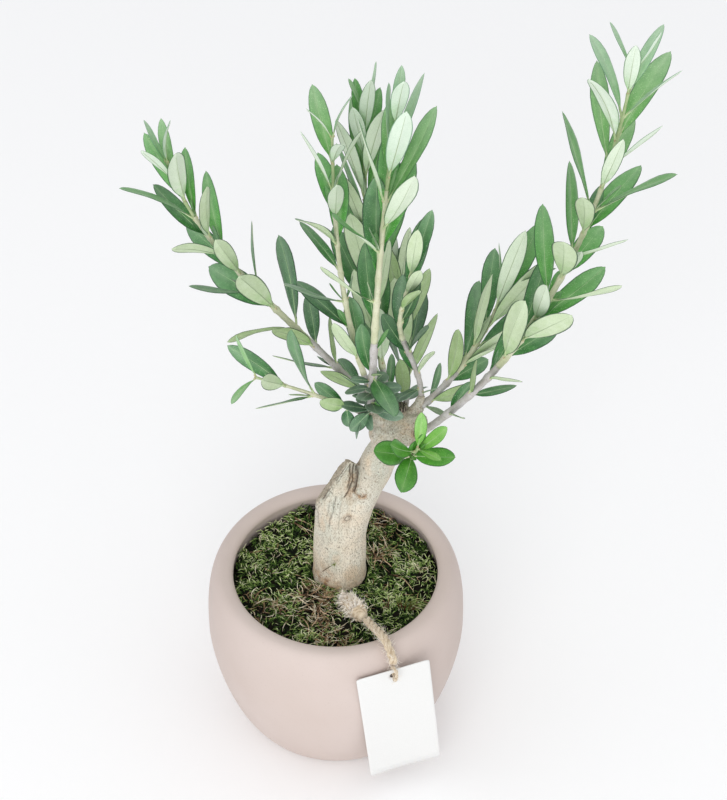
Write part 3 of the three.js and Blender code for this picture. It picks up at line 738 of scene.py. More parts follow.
def leaf_surface(name, colour, streak, speck, edge, haze, roughness):
    """One side of the leaves of one age: deeper at the foot, hazy at the tip, with a line at the margin."""
    s = Surface(name, roughness, 0.5, colour)
    along, margin = s.value("along"), s.value("margin")
    red, green, blue, _ = linear(colour)
    s.lay(s.between(along, 0.5, 0.1), (red * 0.72, green * 0.92, blue * 0.62, 1.0))
    s.lay(s.spots(170, 0.38, 0.68, 4, 0.6), streak)
    # specks by the midrib: on the upper side a painted sheen
    s.lay(s.times(s.times(s.between(margin, 0.45, 0.1), s.spots(90, 0.3, 0.7, 2)), 0.35), speck)
    s.lay(s.times(s.between(along, 0.4, 1.0), haze), (178, 200, 178))
    s.lay(s.times(s.spots(2400, 0.5, 0.7, 2, 0.6), 0.25), edge)
    # fine pale specks: on the upper side a painted sheen
    s.lay(s.times(s.spots(1500, 0.62, 0.72, 1), 0.6), speck)
    s.lay(s.between(margin, 0.87, 0.96), edge)
    s.bump(s.noise(1100), 0.08)
    return s


def leaf_surfaces(tone):
    upper, under, edge = LEAF_COLOURS[tone]
    return [
        leaf_surface("leaf_upper_" + tone, *upper, edge, HAZE.get(tone, 0.26), 0.38),
        leaf_surface("leaf_under_" + tone, *under, edge, 0.1, 0.6),
    ]


# Camera, floor and light


def make_camera():
    data = bpy.data.cameras.new("camera")
    data.sensor_width = CAMERA_SENSOR
    data.lens = CAMERA_LENS
    data.clip_start = 0.01
    camera = added("camera", data)
    camera.location = CAMERA_PLACE
    camera.rotation_euler = (math.radians(CAMERA_TILT), 0, 0)
    bpy.context.scene.camera = camera


def make_stage():
    corners = [(-1, -1), (1, -1), (1, 1), (-1, 1)]
    points = np.array([(x * FLOOR_REACH, y * FLOOR_REACH, FLOOR_Z) for x, y in corners])
    surface = Surface("floor", 0.9, 0.1, (252, 252, 253))
    mesh_object("floor", points, np.array([[0, 1, 2], [0, 2, 3]]), [surface])


def make_light():
    world = bpy.data.worlds.new("studio")
    world.use_nodes = True
    world.node_tree.nodes["Background"].inputs["Color"].default_value = SKY_COLOUR
    world.node_tree.nodes["Background"].inputs["Strength"].default_value = SKY_STRENGTH
    bpy.context.scene.world = world
    data = bpy.data.lights.new("key", "AREA")
    data.shape = "DISK"
    data.size = LAMP_SIZE
    data.energy = LAMP_POWER
    data.color = LAMP_COLOUR
    light = added("key", data)
    light.location = LAMP_PLACE
    light.rotation_euler = (Vector(LAMP_AIM) - light.location).to_track_quat("-Z", "Y").to_euler()


# Planter


def pot_profile():
    quarter = np.linspace(0, math.pi / 2, 33)
    sine, cosine = np.sin(quarter), np.maximum(np.cos(quarter), 0)
    belly_r = from_to((FOOT_RADIUS, POT_RADIUS), sine ** (2 / BELLY_POWER))
    belly_z = POT_WIDEST_Z * (1 - cosine ** (2 / BELLY_POWER))
    shoulder_r = from_to((RIM_RADIUS, POT_RADIUS), cosine ** (2 / SHOULDER_POWER))
    shoulder_z = from_to((POT_WIDEST_Z, POT_HEIGHT), sine ** (2 / SHOULDER_POWER))
    lip_r = from_to((RIM_RADIUS, MOUTH_RADIUS), sine[2::2])
    lip_z = POT_HEIGHT - LIP_DROP * (1 - cosine[2::2])
    return [
        (0, FOOT_HOLLOW),
        (FOOT_RADIUS - FOOT_RING, FOOT_HOLLOW),
        (FOOT_RADIUS - FOOT_RING + 1, 0),
        (FOOT_RADIUS - FOOT_BEVEL, 0),
        (FOOT_RADIUS - FOOT_BEVEL / 3, FOOT_BEVEL / 3),
        *zip(belly_r[2:], belly_z[2:]),
        *zip(shoulder_r[1:], shoulder_z[1:]),
        *zip(lip_r, lip_z),
        *POT_INSIDE,
    ]


def make_pot():
    """The planter of smooth unglazed clay in a pale pinkish grey, and the soil's surface."""
    flecks = [(1, (205, 191, 185), 14, 0.35, 0.7, 4), (0.35, (180, 163, 155), 900, 0.62, 0.8, 2)]
    clay = painted("clay", 0.62, 0.35, (199, 184, 177), flecks, [(0.03, 1500, 3, 0.6), (0.12, 60, 2)])
    clay.rough(clay.noise(40), 0.52, 0.7)
    shown("planter", turned(pot_profile(), POT_SIDES), [clay], "planter", ["pot"])
    soil = painted("soil", 0.95, 0.2, (38, 28, 20), [(1, (78, 58, 42), 500, 0.35, 0.7, 4)], [(0.8, 700, 4)])
    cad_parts["soil"].data.materials.clear()
    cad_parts["soil"].data.materials.append(soil.material)


# Moss


def moss_top(x, y):
    return MOSS_Z + MOSS_BUMP * np.sin(0.13 * x + 0.6) * np.cos(0.15 * y - 0.4)


def level_field(x, y, scale, layer):
    """Smooth noise about -1 to 1 over the moss, with scale in waves per millimetre."""
    return np.array([noise.noise(Vector((a * scale, b * scale, layer))) for a, b in zip(x, y)])


def moss_bed():
    """The mat that the strands stand in."""
    ring = circle(angles_round(BED_SIDES))
    rows = [ring * TINY + UP * MOSS_BOTTOM, ring * MOSS_RADIUS + UP * MOSS_BOTTOM]
    for radius in MOSS_RADIUS * (1 - np.arange(BED_RINGS + 1) / BED_RINGS) + TINY:
        x, y, _ = (ring * radius).T
        edge = BED_EDGE[1] * max(0.0, 1 - (MOSS_RADIUS - radius) / BED_EDGE[0])
        z = moss_top(x, y) - BED_DROP + BED_RELIEF * level_field(x, y, 0.21, 3.7) - edge
        rows.append(np.stack([x, y, z], 1))
    return body(rows)


def strands(feet, headings, lengths, starts, ends, thick, curl, rng, rows=6):
    """Curved tapering strands, as lines and radii. They start and end at an angle above the level."""
    given = (headings, lengths, starts, ends, thick, curl)
    headings, lengths, starts, ends, thick, curl = (np.broadcast_to(g, len(feet))[:, None] for g in given)
    t = (np.arange(rows - 1) + 0.5) / (rows - 1)
    rise = np.radians(from_to((starts, ends), t))
    turn = np.radians(headings + curl * t) + rng.normal(0, 0.12, (len(feet), rows - 1))
    step = np.moveaxis(axes(turn, rise)[0], 0, -1) * (lengths / (rows - 1))[..., None]
    lines = np.concatenate([feet[:, None], feet[:, None] + np.cumsum(step, 1)], 1)
    return lines, thick * np.interp(np.linspace(0, 1, rows), *STRAND_TAPER)


def from_trunk(x, y):
    return np.hypot(x - TRUNK_FOOT[0], y - TRUNK_FOOT[1])


def in_moss(x, y, margin):
    return (np.hypot(x, y) < MOSS_RADIUS - RIM_MARGIN) & (from_trunk(x, y) > TRUNK_FOOT_RADIUS + margin)


def moss_strands():
    """The strands of each colour, as lines and radii."""
    rng = np.random.default_rng(41)
    x, y = rng.uniform(-MOSS_RADIUS, MOSS_RADIUS, (2, 3 * TUFTS))
    keep = in_moss(x, y, 0.5)
    x, y = x[keep][:TUFTS], y[keep][:TUFTS]
    turn = rng.uniform(0, TURN, TUFTS_ROUND_TRUNK)
    away = TRUNK_FOOT_RADIUS + rng.uniform(*ROUND_TRUNK, TUFTS_ROUND_TRUNK)
    x = np.concatenate([x, TRUNK_FOOT[0] + away * np.cos(turn)])
    y = np.concatenate([y, TRUNK_FOOT[1] + away * np.sin(turn)])
    outward = np.degrees(np.arctan2(x - TRUNK_FOOT[0], TRUNK_FOOT[1] - y))
    near = from_trunk(x, y) < TRUNK_FOOT_RADIUS + LEAN_OUT
    lean = np.where(near, outward, 360 * level_field(x, y, 0.045, 9.1))
    x, y, heading = (np.repeat(values, TUFT_STRANDS) for values in (x, y, lean))
    heading = heading + rng.normal(0, TUFT_TURN, len(x))
    x = x + rng.normal(0, TUFT_SPREAD, len(x))
    y = y + rng.normal(0, TUFT_SPREAD, len(x))
    brownness = sum(np.exp(-((x - a) ** 2 + (y - b) ** 2) / r**2) for a, b, r in BROWN_PLACES)
    brown = (brownness * BROWN_THERE + BROWN_ANYWHERE) > rng.random(len(x))
    keep = in_moss(x, y, 0.0) & (level_field(x, y, 0.3, 7.7) > GAP_BELOW)
    x, y, heading, brown = x[keep], y[keep], heading[keep], brown[keep]
    n = len(x)
    bank_from, bank_over, bank_y, bank_high = BANK
    bank = share((np.hypot(x, y) - bank_from) / bank_over) * share(y / bank_y)
    z = moss_top(x, y) - STRAND_SINK + STRAND_HUMPS * level_field(x, y, 0.09, 5.3) + bank_high * bank
    z = z + rng.uniform(-0.8, 0.8, n)
    sizes = [np.where(brown, rng.uniform(*dry, n), rng.uniform(*green, n)) for dry, green in STRAND_RANGES]
    curl = rng.normal(0, np.where(brown, *STRAND_CURLS), n)
    lines, radii = strands(np.stack([x, y, z], 1), heading, *sizes, curl, rng)
    clear = np.hypot(lines[..., 0], lines[..., 1]).max(1) <= MOSS_RADIUS - 0.4
    clear &= from_trunk(lines[..., 0], lines[..., 1]).min(1) >= TRUNK_FOOT_RADIUS + 0.2
    shade = level_field(x, y, 0.07, 1.3) + rng.normal(0, 0.5, n)
    kind = np.where(brown, np.where(rng.random(n) < DRY_SHARE, 3, 4), np.digitize(shade, SHADES))
    return [(lines[(kind == k) & clear], radii[(kind == k) & clear]) for k in range(5)]


def rootlets(rng):
    x, y, heading, length, turn = np.array(ROOTLETS, float).T
    feet = np.stack([x, y, moss_top(x, y) - 0.5], 1)
    count = len(x)
    thick = rng.uniform(0.34, 0.6, count)
    start, end = rng.uniform(15, 35, count), rng.uniform(-35, -10, count)
    return strands(feet, heading, length, start, end, thick, turn, rng, LONG_ROWS)


def fan(rng):
    """The fan of arching strands, and the sprig's tuft."""
    heading = np.array(FAN_HEADINGS, float)
    count = len(heading)
    x = FAN_PLACE[0] + rng.normal(0, 1.5, count) + 4 * np.sin(np.radians(heading))
    y = FAN_PLACE[1] + rng.normal(0, 1.5, count)
    feet = np.stack([x, y, moss_top(x, y) - 1.5], 1)
    spread = strands(feet, heading, rng.uniform(12, 17, count), 70, -35, 0.42, -70, rng, ARCH_ROWS)
    count = SPRIG_STRANDS
    feet = np.array(SPRIG_TIP) + rng.normal(0, 0.25, (count, 3)) * (1, 0.3, 1)
    sizes = [rng.uniform(*ends, count) for ends in ((-60, 60), (1.8, 3), (-60, 90), (-60, 90))]
    tuft = strands(feet, *sizes, 0.28, rng.normal(0, 40, count), rng, ARCH_ROWS)
    return [np.concatenate(pair) for pair in zip(spread, tuft)]


def sprig():
    t = np.linspace(0, 1, LONG_ROWS)[:, None]
    line = np.array(SPRIG_FOOT) * (1 - t) + np.array(SPRIG_TIP) * t + (0, -0.5, 0.8) * np.sin(np.pi * t)
    return line[None], from_to((0.34, 0.2), t.T)


def make_moss():
    # The mat is nearly black: painted shade in the gaps between the strands
    layers = [(1, (22, 28, 10), 420, 0.4, 0.65, 4), (1, (24, 18, 11), 60, 0.5, 0.65, 3)]
    bed = painted("moss_bed", 0.95, 0.2, (5, 7, 3), layers, [(1.2, 900, 4)])
    shown("moss_bed", moss_bed(), [bed], "moss", ["moss"])
    rng = np.random.default_rng(43)
    made = [*moss_strands(), rootlets(rng), fan(rng), sprig()]
    for (name, colours), (lines, radii) in zip(MOSS_LOOKS.items(), made):
        along = np.tile(np.repeat(np.linspace(0, 1, lines.shape[1]), 3), len(lines))
        shown(name, tubes(lines, radii, 3), [strand_surface(name, *colours)], "moss", along=along)


# Trunk and limb


def wood_loft(stations):
    """Level rings up a trunk or limb, closed at both ends."""
    known = np.arange(len(stations))
    at = np.linspace(0, known[-1], known[-1] * WOOD_ROWS_EACH + 1)
    middle, half = (smooth_between(at, known, [station[k] for station in stations]) for k in range(2))
    angles = angles_round(WOOD_SIDES)
    lobe = 1 + WOOD_LOBE * np.cos(3 * angles + 0.03 * middle[:, 2:])
    x = middle[:, :1] + half[:, :1] * lobe * np.cos(angles)
    y = middle[:, 1:2] + half[:, 1:2] * lobe * np.sin(angles)
    return body(np.stack([x, y, np.broadcast_to(middle[:, 2:], x.shape)], -1))


def sliced(shape, point, normal):
    """The shape without what lies past a plane on the side its normal points to, closed there."""
    made = mesh_object("sliced", *shape)
    work = bmesh.new()
    work.from_mesh(made.data)
    bmesh.ops.remove_doubles(work, verts=work.verts, dist=1e-6)
    cut = bmesh.ops.bisect_plane(
        work,
        geom=[*work.verts, *work.edges, *work.faces],
        plane_co=Vector(point) * MM,
        plane_no=Vector(normal).normalized(),
        clear_outer=True,
    )
    bmesh.ops.contextual_create(work, geom=[e for e in cut["geom_cut"] if isinstance(e, bmesh.types.BMEdge)])
    bmesh.ops.triangulate(work, faces=work.faces)
    work.verts.ensure_lookup_table()
    points = np.array([v.co for v in work.verts]) / MM
    faces = np.array([[v.index for v in f.verts] for f in work.faces])
    work.free()
    bpy.data.objects.remove(made)
    return points, faces


def collar(shoot):
    """The swelling that a shoot leaves the wood from."""
    start, end = np.array(shoot["wood"], float), np.array(shoot["foot"], float)
    control = end - path_of(shoot)[1][0] * COLLAR_BEND
    t = np.linspace(0, 1, 9)[:, None]
    line = start * (1 - t) ** 2 + 2 * control * t * (1 - t) + end * t**2
    return tubes(line[None], from_to((COLLAR_ROOT, shoot["girth"] + COLLAR_PROUD), np.sqrt(t.T)), 16)


def triples(items, key, kind=np.float32):
    values = np.empty(len(items) * 3, kind)
    items.foreach_get(key, values)
    return values.reshape(-1, 3)


def remeshed(shape):
    """One even skin round shapes that overlap, as its points, their normals and its faces."""
    made = mesh_object("rough", *shape)
    modifier = made.modifiers.new("skin", "REMESH")
    modifier.mode = "VOXEL"
    modifier.voxel_size = BARK_VOXEL * MM
    modifier.use_smooth_shade = True
    smooth = made.modifiers.new("smooth", "SMOOTH")
    smooth.factor = 0.5
    smooth.iterations = BARK_SMOOTHING
    mesh = bpy.data.meshes.new_from_object(made.evaluated_get(bpy.context.evaluated_depsgraph_get()))
    mesh.calc_loop_triangles()
    points, normals = triples(mesh.vertices, "co") / MM, triples(mesh.vertices, "normal")
    faces = triples(mesh.loop_triangles, "vertices", np.int32)
    bpy.data.objects.remove(made)
    bpy.data.meshes.remove(mesh)
    return points, normals, faces


def field(points, scale, offset):
    """Smooth noise about -1 to 1 at points, with scale in waves per millimetre along each axis."""
    return np.array([noise.noise(Vector(p)) for p in points * np.asarray(scale) + offset])


def from_line(points, line):
    """Each point's distance from a line of joined stretches."""
    line = np.asarray(line, float)
    found = np.full(len(points), np.inf)
    for a, b in zip(line[:-1], line[1:]):
        t = share((points - a) @ (b - a) / ((b - a) @ (b - a)))
        found = np.minimum(found, np.linalg.norm(points - a - t[:, None] * (b - a), axis=1))
    return found


def drawn(points, normals, side, line):
    """Each point's distance from a line or a point that is drawn on the wood's front or back."""
    flat = points[:, [0, 2]]
    away = from_line(flat, line) if len(line) > 1 else np.linalg.norm(flat - line[0], axis=1)
    facing = -normals[:, 1] if side == "front" else normals[:, 1]
    return away + 4 * share(0.15 - facing)


def make_wood():
    stub = sliced(sliced(wood_loft(TRUNK), SAW_POINT, SAW_NORMAL), BREAK_POINT, BREAK_NORMAL)
    collars = [collar(shoot) for shoot in SHOOTS.values()]
    points, normals, faces = remeshed(joined([stub, wood_loft(LIMB), *collars]))
    x, _, z = points.T
    dark, depth, rise, stain = np.zeros((4, len(points)))

    wander = 0.7 * np.stack([field(points, 0.16, 5 * k) for k in range(1, 4)], 1)
    wander += 0.4 * np.stack([field(points, 0.7, 3 * k) for k in range(1, 4)], 1)
    for side, cracks in CRACKS.items():
        for line, half_width, deep, darkness in cracks:
            shape = np.exp(-((drawn(points + wander, normals, side, line) / half_width) ** 2) / 2)
            depth = np.maximum(depth, deep * shape)
            dark = np.maximum(dark, darkness * shape)
    scar_specks = share(2.5 * field(points, 1.2, 33.0))
    for side, scars in SCARS.items():
        for middle, radius, height, tint in scars:
            away = drawn(points + 0.5 * wander, normals, side, [middle]) - radius
            groove = bell((away + 0.9) / 0.36)
            beside = tint * bell(away / 1.8)
            rise += height * bell(away / 0.7) - 0.35 * groove
            stain = np.maximum(stain, beside)
            dark = np.maximum(dark, np.maximum(0.85 * groove, 0.7 * beside * scar_specks))
    for middle in PITS:
        near = bell(drawn(points, normals, "front", [middle]) / 0.6)
        depth = np.maximum(depth, 0.5 * near)
        dark = np.maximum(dark, 0.9 * near)

    # The sawn and broken top, its grain, and two lines of bark along its edge
    of_stub = (x < 17.5) * (z > 150)
    in_front = normals[:, 1] < 0.2
    below_saw = (np.array(SAW_POINT) - points) @ unit(SAW_NORMAL)
    below_break = (np.array(BREAK_POINT) - points) @ unit(BREAK_NORMAL)
    below = np.minimum(below_saw, below_break) + 0.5 * field(points, 0.5, 6.0)
    sawn = share((0.9 - below) / 0.5) * of_stub
    grain = np.abs(field(points, (0.5, 0.5, 0.12), 2.0))
    depth += sawn * 0.8 * share(0.3 - grain) / 0.3
    dark = np.maximum(dark, sawn * 0.5 * share(0.16 - grain) / 0.16)
    broken_line = of_stub * share(0.7 + 2 * field(points, 0.3, 8.0)) * in_front
    for inset, darkness in ((1.2, 0.95), (2.9, 0.55)):
        line = bell((below_saw + 0.4 * wander[:, 0] - inset) / 0.32) * broken_line
        depth = np.maximum(depth, 0.5 * line)
        dark = np.maximum(dark, darkness * line)

    # Scaly bark below the fork, and the rough knuckle
    scaly = share(1 - np.hypot((x - 12.5) / 6, (z - 219) / 17)) * in_front
    flakes = np.abs(field(points, (0.45, 0.45, 0.3), 31.0))
    rise += scaly * 0.9 * (flakes - 0.2)
    dark = np.maximum(dark, 0.75 * share(1.6 * scaly) * share(0.1 - flakes) / 0.1)
    stain = np.maximum(stain, 0.7 * share(1.4 * scaly))
    knuckle = share((z - 250) / 14) * (x > 20)
    relief = 0.5 * field(points, (0.09, 0.09, 0.05), 1.0) + 0.1 * field(points, (0.35, 0.35, 0.12), 4.0)
    relief += knuckle * (0.75 * field(points, 0.26, 6.0) + 0.3 * field(points, 0.8, 14.0))
    relief += 0.16 * field(points, 0.9, 3.0)
    points = points + normals * (relief + rise - depth)[:, None]

    x, _, z = points.T
    foot = share((139 - z - 0.25 * x) / 16)
    stain = np.maximum(stain, foot * share(0.9 + 1.4 * field(points, 0.15, 17.0)))
    stain = np.maximum(stain, 0.4 * knuckle * share(0.3 + 1.8 * field(points, 0.16, 21.0)))
    fleck = share((field(points, 1.1, 27.0) - 0.28) / 0.1)
    dark = np.maximum(dark, fleck * np.clip(0.35 * knuckle + 0.7 * scaly, 0, 0.6))
    band = np.exp(-(((x + 1) / 7) ** 2) - ((z - 180) / 45) ** 2)
    limb = np.exp(-(((x - 31) / 9) ** 2) - ((z - 240) / 26) ** 2)
    shown(
        "wood", (points, faces), [bark_surface()], "bark", ["trunk", "leaning_limb"],
        crack=share(dark),
        sawn=sawn,
        stain=stain,
        # painted light: paler down the trunk, where it gets less light in the pot than the limb
        pale=np.interp(z, [150, 176, 200, 236], [1, 0.74, 0.74, 0]),
        green=share(band + 0.7 * limb + 0.8 * of_stub * share((z - 196) / 14)),
    )


def make_snag():
    """The grooved stump of a sawn shoot on top of the knuckle."""
    rng = np.random.default_rng(7)
    rows, pith_rows = 12, 6
    foot, axis, length = axis_between(SNAG_FOOT, SNAG_TIP)
    across = unit(np.cross(axis, (0, 1, 0)))
    angles = angles_round(SNAG_SIDES)
    out = round_axis(angles, across, np.cross(axis, across))
    ridges = 0.5 + 0.5 * np.cos(SNAG_RIDGES * angles + 0.8 * np.sin(3 * angles))
    top = rng.normal(0, 0.5, SNAG_SIDES)
    top = 0.9 * (ridges - 0.5) + (np.roll(top, 1) + top + np.roll(top, -1)) / 2
    rings = []
    for t in np.arange(rows + 1) / rows:
        radius = SNAG_RADIUS * (1.06 - 0.1 * t) - (1 - ridges) * min(1, 1.5 * t + 0.3)
        lift = top * max(0.0, t - 0.6) / 0.4
        rings.append(foot + axis * (length * t + lift)[:, None] + radius[:, None] * out)
    values = [ridges] * len(rings)
    rim = rings[-1]
    for k in range(1, pith_rows):
        inward = 1 - k / pith_rows
        middle = foot + axis * (length - 0.9 * math.sin(math.pi * k / pith_rows) - 0.5)
        pith = np.abs(np.sin(2.5 * math.pi * inward + 1.3 * np.cos(2 * angles)))
        rings.append(middle + (rim - middle) * inward + axis * (0.5 * pith)[:, None])
        values.append(pith)
    s = Surface("dead_wood", 0.85, 0.25, (26, 22, 20))
    s.lay(s.between(s.value("ridge"), 0.25, 0.9), (158, 148, 134))
    s.bump(s.noise(1200), 0.3)
    shown("snag", body(rings), [s], "bark", ["leaning_limb"], ridge=np.concatenate(values))


# Shoots


def numbers(seed):
    """Random numbers from 0 to 1, the same ones for the same seed as in the model."""
    state = seed
    for _ in range(SEED_SKIPS):
        state = state * SEED_FACTOR % SEED_LIMIT
    while True:
        state = state * SEED_FACTOR % SEED_LIMIT
        yield state / SEED_LIMIT


def within(limits, draw):
    least, spread = limits
    return least + spread * draw


def axes(heading, rise):
    """Along, sideways and up, for a stem that heads this way."""
    sh, ch, sr, cr = np.sin(heading), np.cos(heading), np.sin(rise), np.cos(rise)
    return np.array([cr * sh, -cr * ch, sr]), np.array([ch, sh, 0 * sh]), np.array([-sr * sh, sr * ch, cr])


def path_of(shoot):
    """The stem's points a step apart, the direction of each step, and its heading and rise."""
    steps = math.floor(shoot["length"] / STEM_STEP + 0.5)
    t = (np.arange(steps) + 0.5) / steps
    heading, rise = np.radians(from_to(shoot["heading"], t)), np.radians(from_to(shoot["rise"], t))
    along = axes(heading, rise)[0].T
    foot = np.array(shoot["foot"], float)
    points = np.concatenate([foot[None], foot + np.cumsum(along, 0) * shoot["length"] / steps])
    return points, along, heading, rise


def frame_at(shoot, distance):
    """The stem's point there, and the directions along, sideways and up."""
    points, _, heading, rise = path_of(shoot)
    f = distance / shoot["length"] * len(heading)
    i = min(int(f), len(heading) - 1)
    return points[i] * (1 - f + i) + points[i + 1] * (f - i), *axes(heading[i], rise[i])


def girth_at(shoot, distance):
    return from_to((shoot["girth"], STEM_TIP), (distance / shoot["length"]) ** STEM_FINENESS)


def node_places(shoot):
    """Where the leaf pairs sit: their shares of the way, and how far along the stem."""
    t = np.arange(shoot["nodes"]) / (shoot["nodes"] - 1)
    return t, shoot["first"] + (shoot["length"] - shoot["first"] - TIP_BARE) * t**SPACING


def leaves_of(shoot):
    """Every leaf that the rule gives a shoot: the crossed pairs, and small ones in some axils."""
    draw = numbers(shoot["seed"])
    wide_at_foot, less, pace = WIDTH_FALL
    size_at_foot, growth, size_at_tip, fall = SIZE
    for k, (t, distance) in enumerate(zip(*node_places(shoot))):
        known = dict(place=frame_at(shoot, distance), t=t, girth=girth_at(shoot, distance))
        pair = math.radians(shoot["phase"] + 90 * k + (next(draw) - 0.5) * PAIR_SPREAD)
        angle = math.radians(from_to(shoot["open"], t))
        size_share = min(1, size_at_foot + growth * t) * min(1, size_at_tip + fall * (1 - t))
        width_share = wide_at_foot - less * min(1, pace * t)
        for j in range(2):
            roll = pair + math.pi * j + (next(draw) - 0.5) * math.radians(ROLL_SPREAD)
            opening = angle * within(OPENING, next(draw))
            long = shoot["leaf"] * size_share * within(LENGTH, next(draw))
            wide = long * shoot["broad"] * width_share * within(WIDTH, next(draw))
            known["curve"] = (next(draw) - CURVE_MIDDLE) * math.radians(CURVE_SPREAD)
            known["twist"] = (next(draw) - 0.5) * math.radians(TWIST_SPREAD)
            yield dict(known, roll=roll, opening=opening, long=long, wide=wide)
            axil, size = next(draw), next(draw)
            if axil < AXIL_CHANCE and AXIL_PLACES[0] < t < AXIL_PLACES[1]:
                small = dict(roll=roll + size - 0.5, opening=opening * AXIL_OPENING)
                yield dict(known, **small, long=long * (0.3 + 0.25 * size), wide=wide * (0.3 + 0.2 * size))


def basal_leaves(shoot, rng):
    """Short dark spoon-shaped leaves close to where a shoot leaves the wood."""
    for i in range(shoot["basal"]):
        distance = 1.2 + 1.7 * i + rng.uniform(0, 0.8)
        long = rng.uniform(14, 23)
        yield dict(
            place=frame_at(shoot, distance),
            roll=math.radians(shoot["phase"] + 137.5 * i) + rng.uniform(-0.4, 0.4),
            opening=math.radians(rng.uniform(62, 108)),
            long=long,
            wide=long * rng.uniform(0.42, 0.56),
            curve=rng.uniform(-0.1, 0.5),
            twist=rng.uniform(-0.4, 0.4),
            t=0,
            girth=shoot["girth"],
            basal=True,
        )


def knuckle_leaves():
    for tone, foot, tip, broad, turn in KNUCKLE_LEAVES:
        long = np.linalg.norm(np.subtract(tip, foot))
        along = np.subtract(tip, foot) / long
        upper = unit(FORWARD - along * (along @ FORWARD))
        place = np.array(foot), along, -upper, np.cross(along, upper)
        sizes = dict(long=long, wide=long * broad, curve=0.3, twist=0.15, t=0, girth=1.2)
        yield tone, dict(place=place, roll=turn, opening=0, **sizes)


def out_of(leaf):
    """A leaf's frame, and the direction that it leaves the stem in."""
    point, along, side, up = leaf["place"]
    return point, along, math.cos(leaf["roll"]) * side + math.sin(leaf["roll"]) * up


def blade_of(leaf, closing, stations, widths=0):
    """The blade at each station: the midrib's points, and the directions across and above it."""
    point, along, out = out_of(leaf)
    angles = leaf["opening"] * closing + leaf["curve"] * (stations - CURVE_FROM)
    sine, cosine = np.sin(angles)[:, None], np.cos(angles)[:, None]
    forward = cosine * along + sine * out
    upper = sine * along - cosine * out
    steps = np.diff(stations, prepend=0)[:, None] * leaf["long"]
    across = np.cross(forward, upper)
    turn = (leaf["twist"] * stations)[:, None]
    reach = (leaf["wide"] / 2 * widths * np.ones(len(stations)))[:, None]
    half = (across * np.cos(turn) + upper * np.sin(turn)) * reach
    return point + np.cumsum(forward * steps, 0), half, upper * np.cos(turn) - across * np.sin(turn)


def nearest(points, others):
    return np.sqrt(((points[:, None] - others[None]) ** 2).sum(-1).min(1))


def fits(leaf, closing, own, others):
    """Whether the leaf keeps to its shoot's space and off thick wood, or at a foot clear of the knuckle."""
    points, half, _ = blade_of(leaf, closing, STATIONS, WIDTHS)
    middle, edge = points[TESTED], half[TESTED[:3]]
    tested = np.concatenate([middle, middle[:3] + edge, middle[:3] - edge])
    if leaf.get("basal"):
        return (nearest(tested * KNUCKLE_FLAT, KNUCKLE_LINE * KNUCKLE_FLAT) > KNUCKLE_REACH).all()
    inside = (nearest(tested, own) + SPACE_MARGIN < nearest(tested, others)).all()
    off_wood = ((from_line(tested, line) > radius + WOOD_MARGIN).all() for *line, radius in THICK_WOOD)
    return inside and all(off_wood)


def blade_mesh(leaf, closing, waves):
    """The closed blade, each face's side, 0 for the upper one, and how far out and along each point is."""
    age = min(1, 1.6 * leaf["t"])
    points, half, upper = blade_of(leaf, closing, BLADE_ROWS, from_to((OLD_WIDTHS, YOUNG_WIDTHS), age))
    fold = from_to(FOLDS, age)
    half = half / math.hypot(1, fold)
    across = np.abs(BLADE_COLUMNS)
    reach = np.linalg.norm(half, axis=1)[:, None]
    height = fold * across * reach - MARGIN_ROLL * np.maximum(across - 0.6, 0) / 0.4 * reach
    wave = np.sin(waves[0] + MARGIN_WAVES * BLADE_ROWS)[:, None] * waves[1]
    height = height + wave * BLADE_COLUMNS * reach
    top = points[:, None] + half[:, None] * BLADE_COLUMNS[:, None] + upper[:, None] * height[..., None]
    thin = BLADE_THICK * (0.35 + 0.65 * (1 - across**2)) * np.minimum(1, reach / 1.2)
    under = top - upper[:, None] * thin[..., None]
    ring, faces = body(np.concatenate([top, under[:, ::-1]], 1))
    rows, columns = len(BLADE_ROWS), 2 * len(BLADE_COLUMNS)
    place = np.tile(np.arange(columns), 2 * (rows - 1))
    sides = np.concatenate([place >= len(BLADE_COLUMNS), np.ones(2 * (columns - 2))])
    return (ring, faces[:, ::-1]), sides, np.tile(across, 2 * rows), np.repeat(BLADE_ROWS, columns)


def twig_parts(shoot, wild):
    """The stem as stretches of bark of three ages, with swollen nodes."""
    _, nodes = node_places(shoot)
    at = np.linspace(0, shoot["length"], max(12, int(shoot["length"] / 2)))
    points = spaced_along(path_of(shoot)[0], len(at))
    swell = bell((at[:, None] - nodes) / NODE_REACH).max(1)
    radius = girth_at(shoot, at) * (1 + NODE_SWELL[0] * swell) + NODE_SWELL[1] * swell
    radius = radius * (1 + 0.04 * np.sin(at * 0.9 + wild))
    kinds = np.clip(np.round(from_to(shoot["bark"], at / shoot["length"])), 0, 2).astype(int)
    for kind in range(3):
        chosen = np.flatnonzero(kinds == kind)
        if len(chosen) > 1:
            stretch = slice(chosen[0], min(chosen[-1] + 2, len(at)))
            yield kind, tubes(points[None, stretch], radius[None, stretch], 12)


def bud(leaf, rng):
    """A small pointed bud in the leaf's axil."""
    point, along, out = out_of(leaf)
    foot = point + out * leaf["girth"] * 0.75 + along * 0.7
    way = unit(0.6 * out + along + 0.2 * rng.normal(size=3))
    line = foot + way * (BUD_ROWS * rng.uniform(1.6, 2.6))[:, None]
    return tubes(line[None], BUD_RADII * rng.uniform(0.8, 1.15), 7)


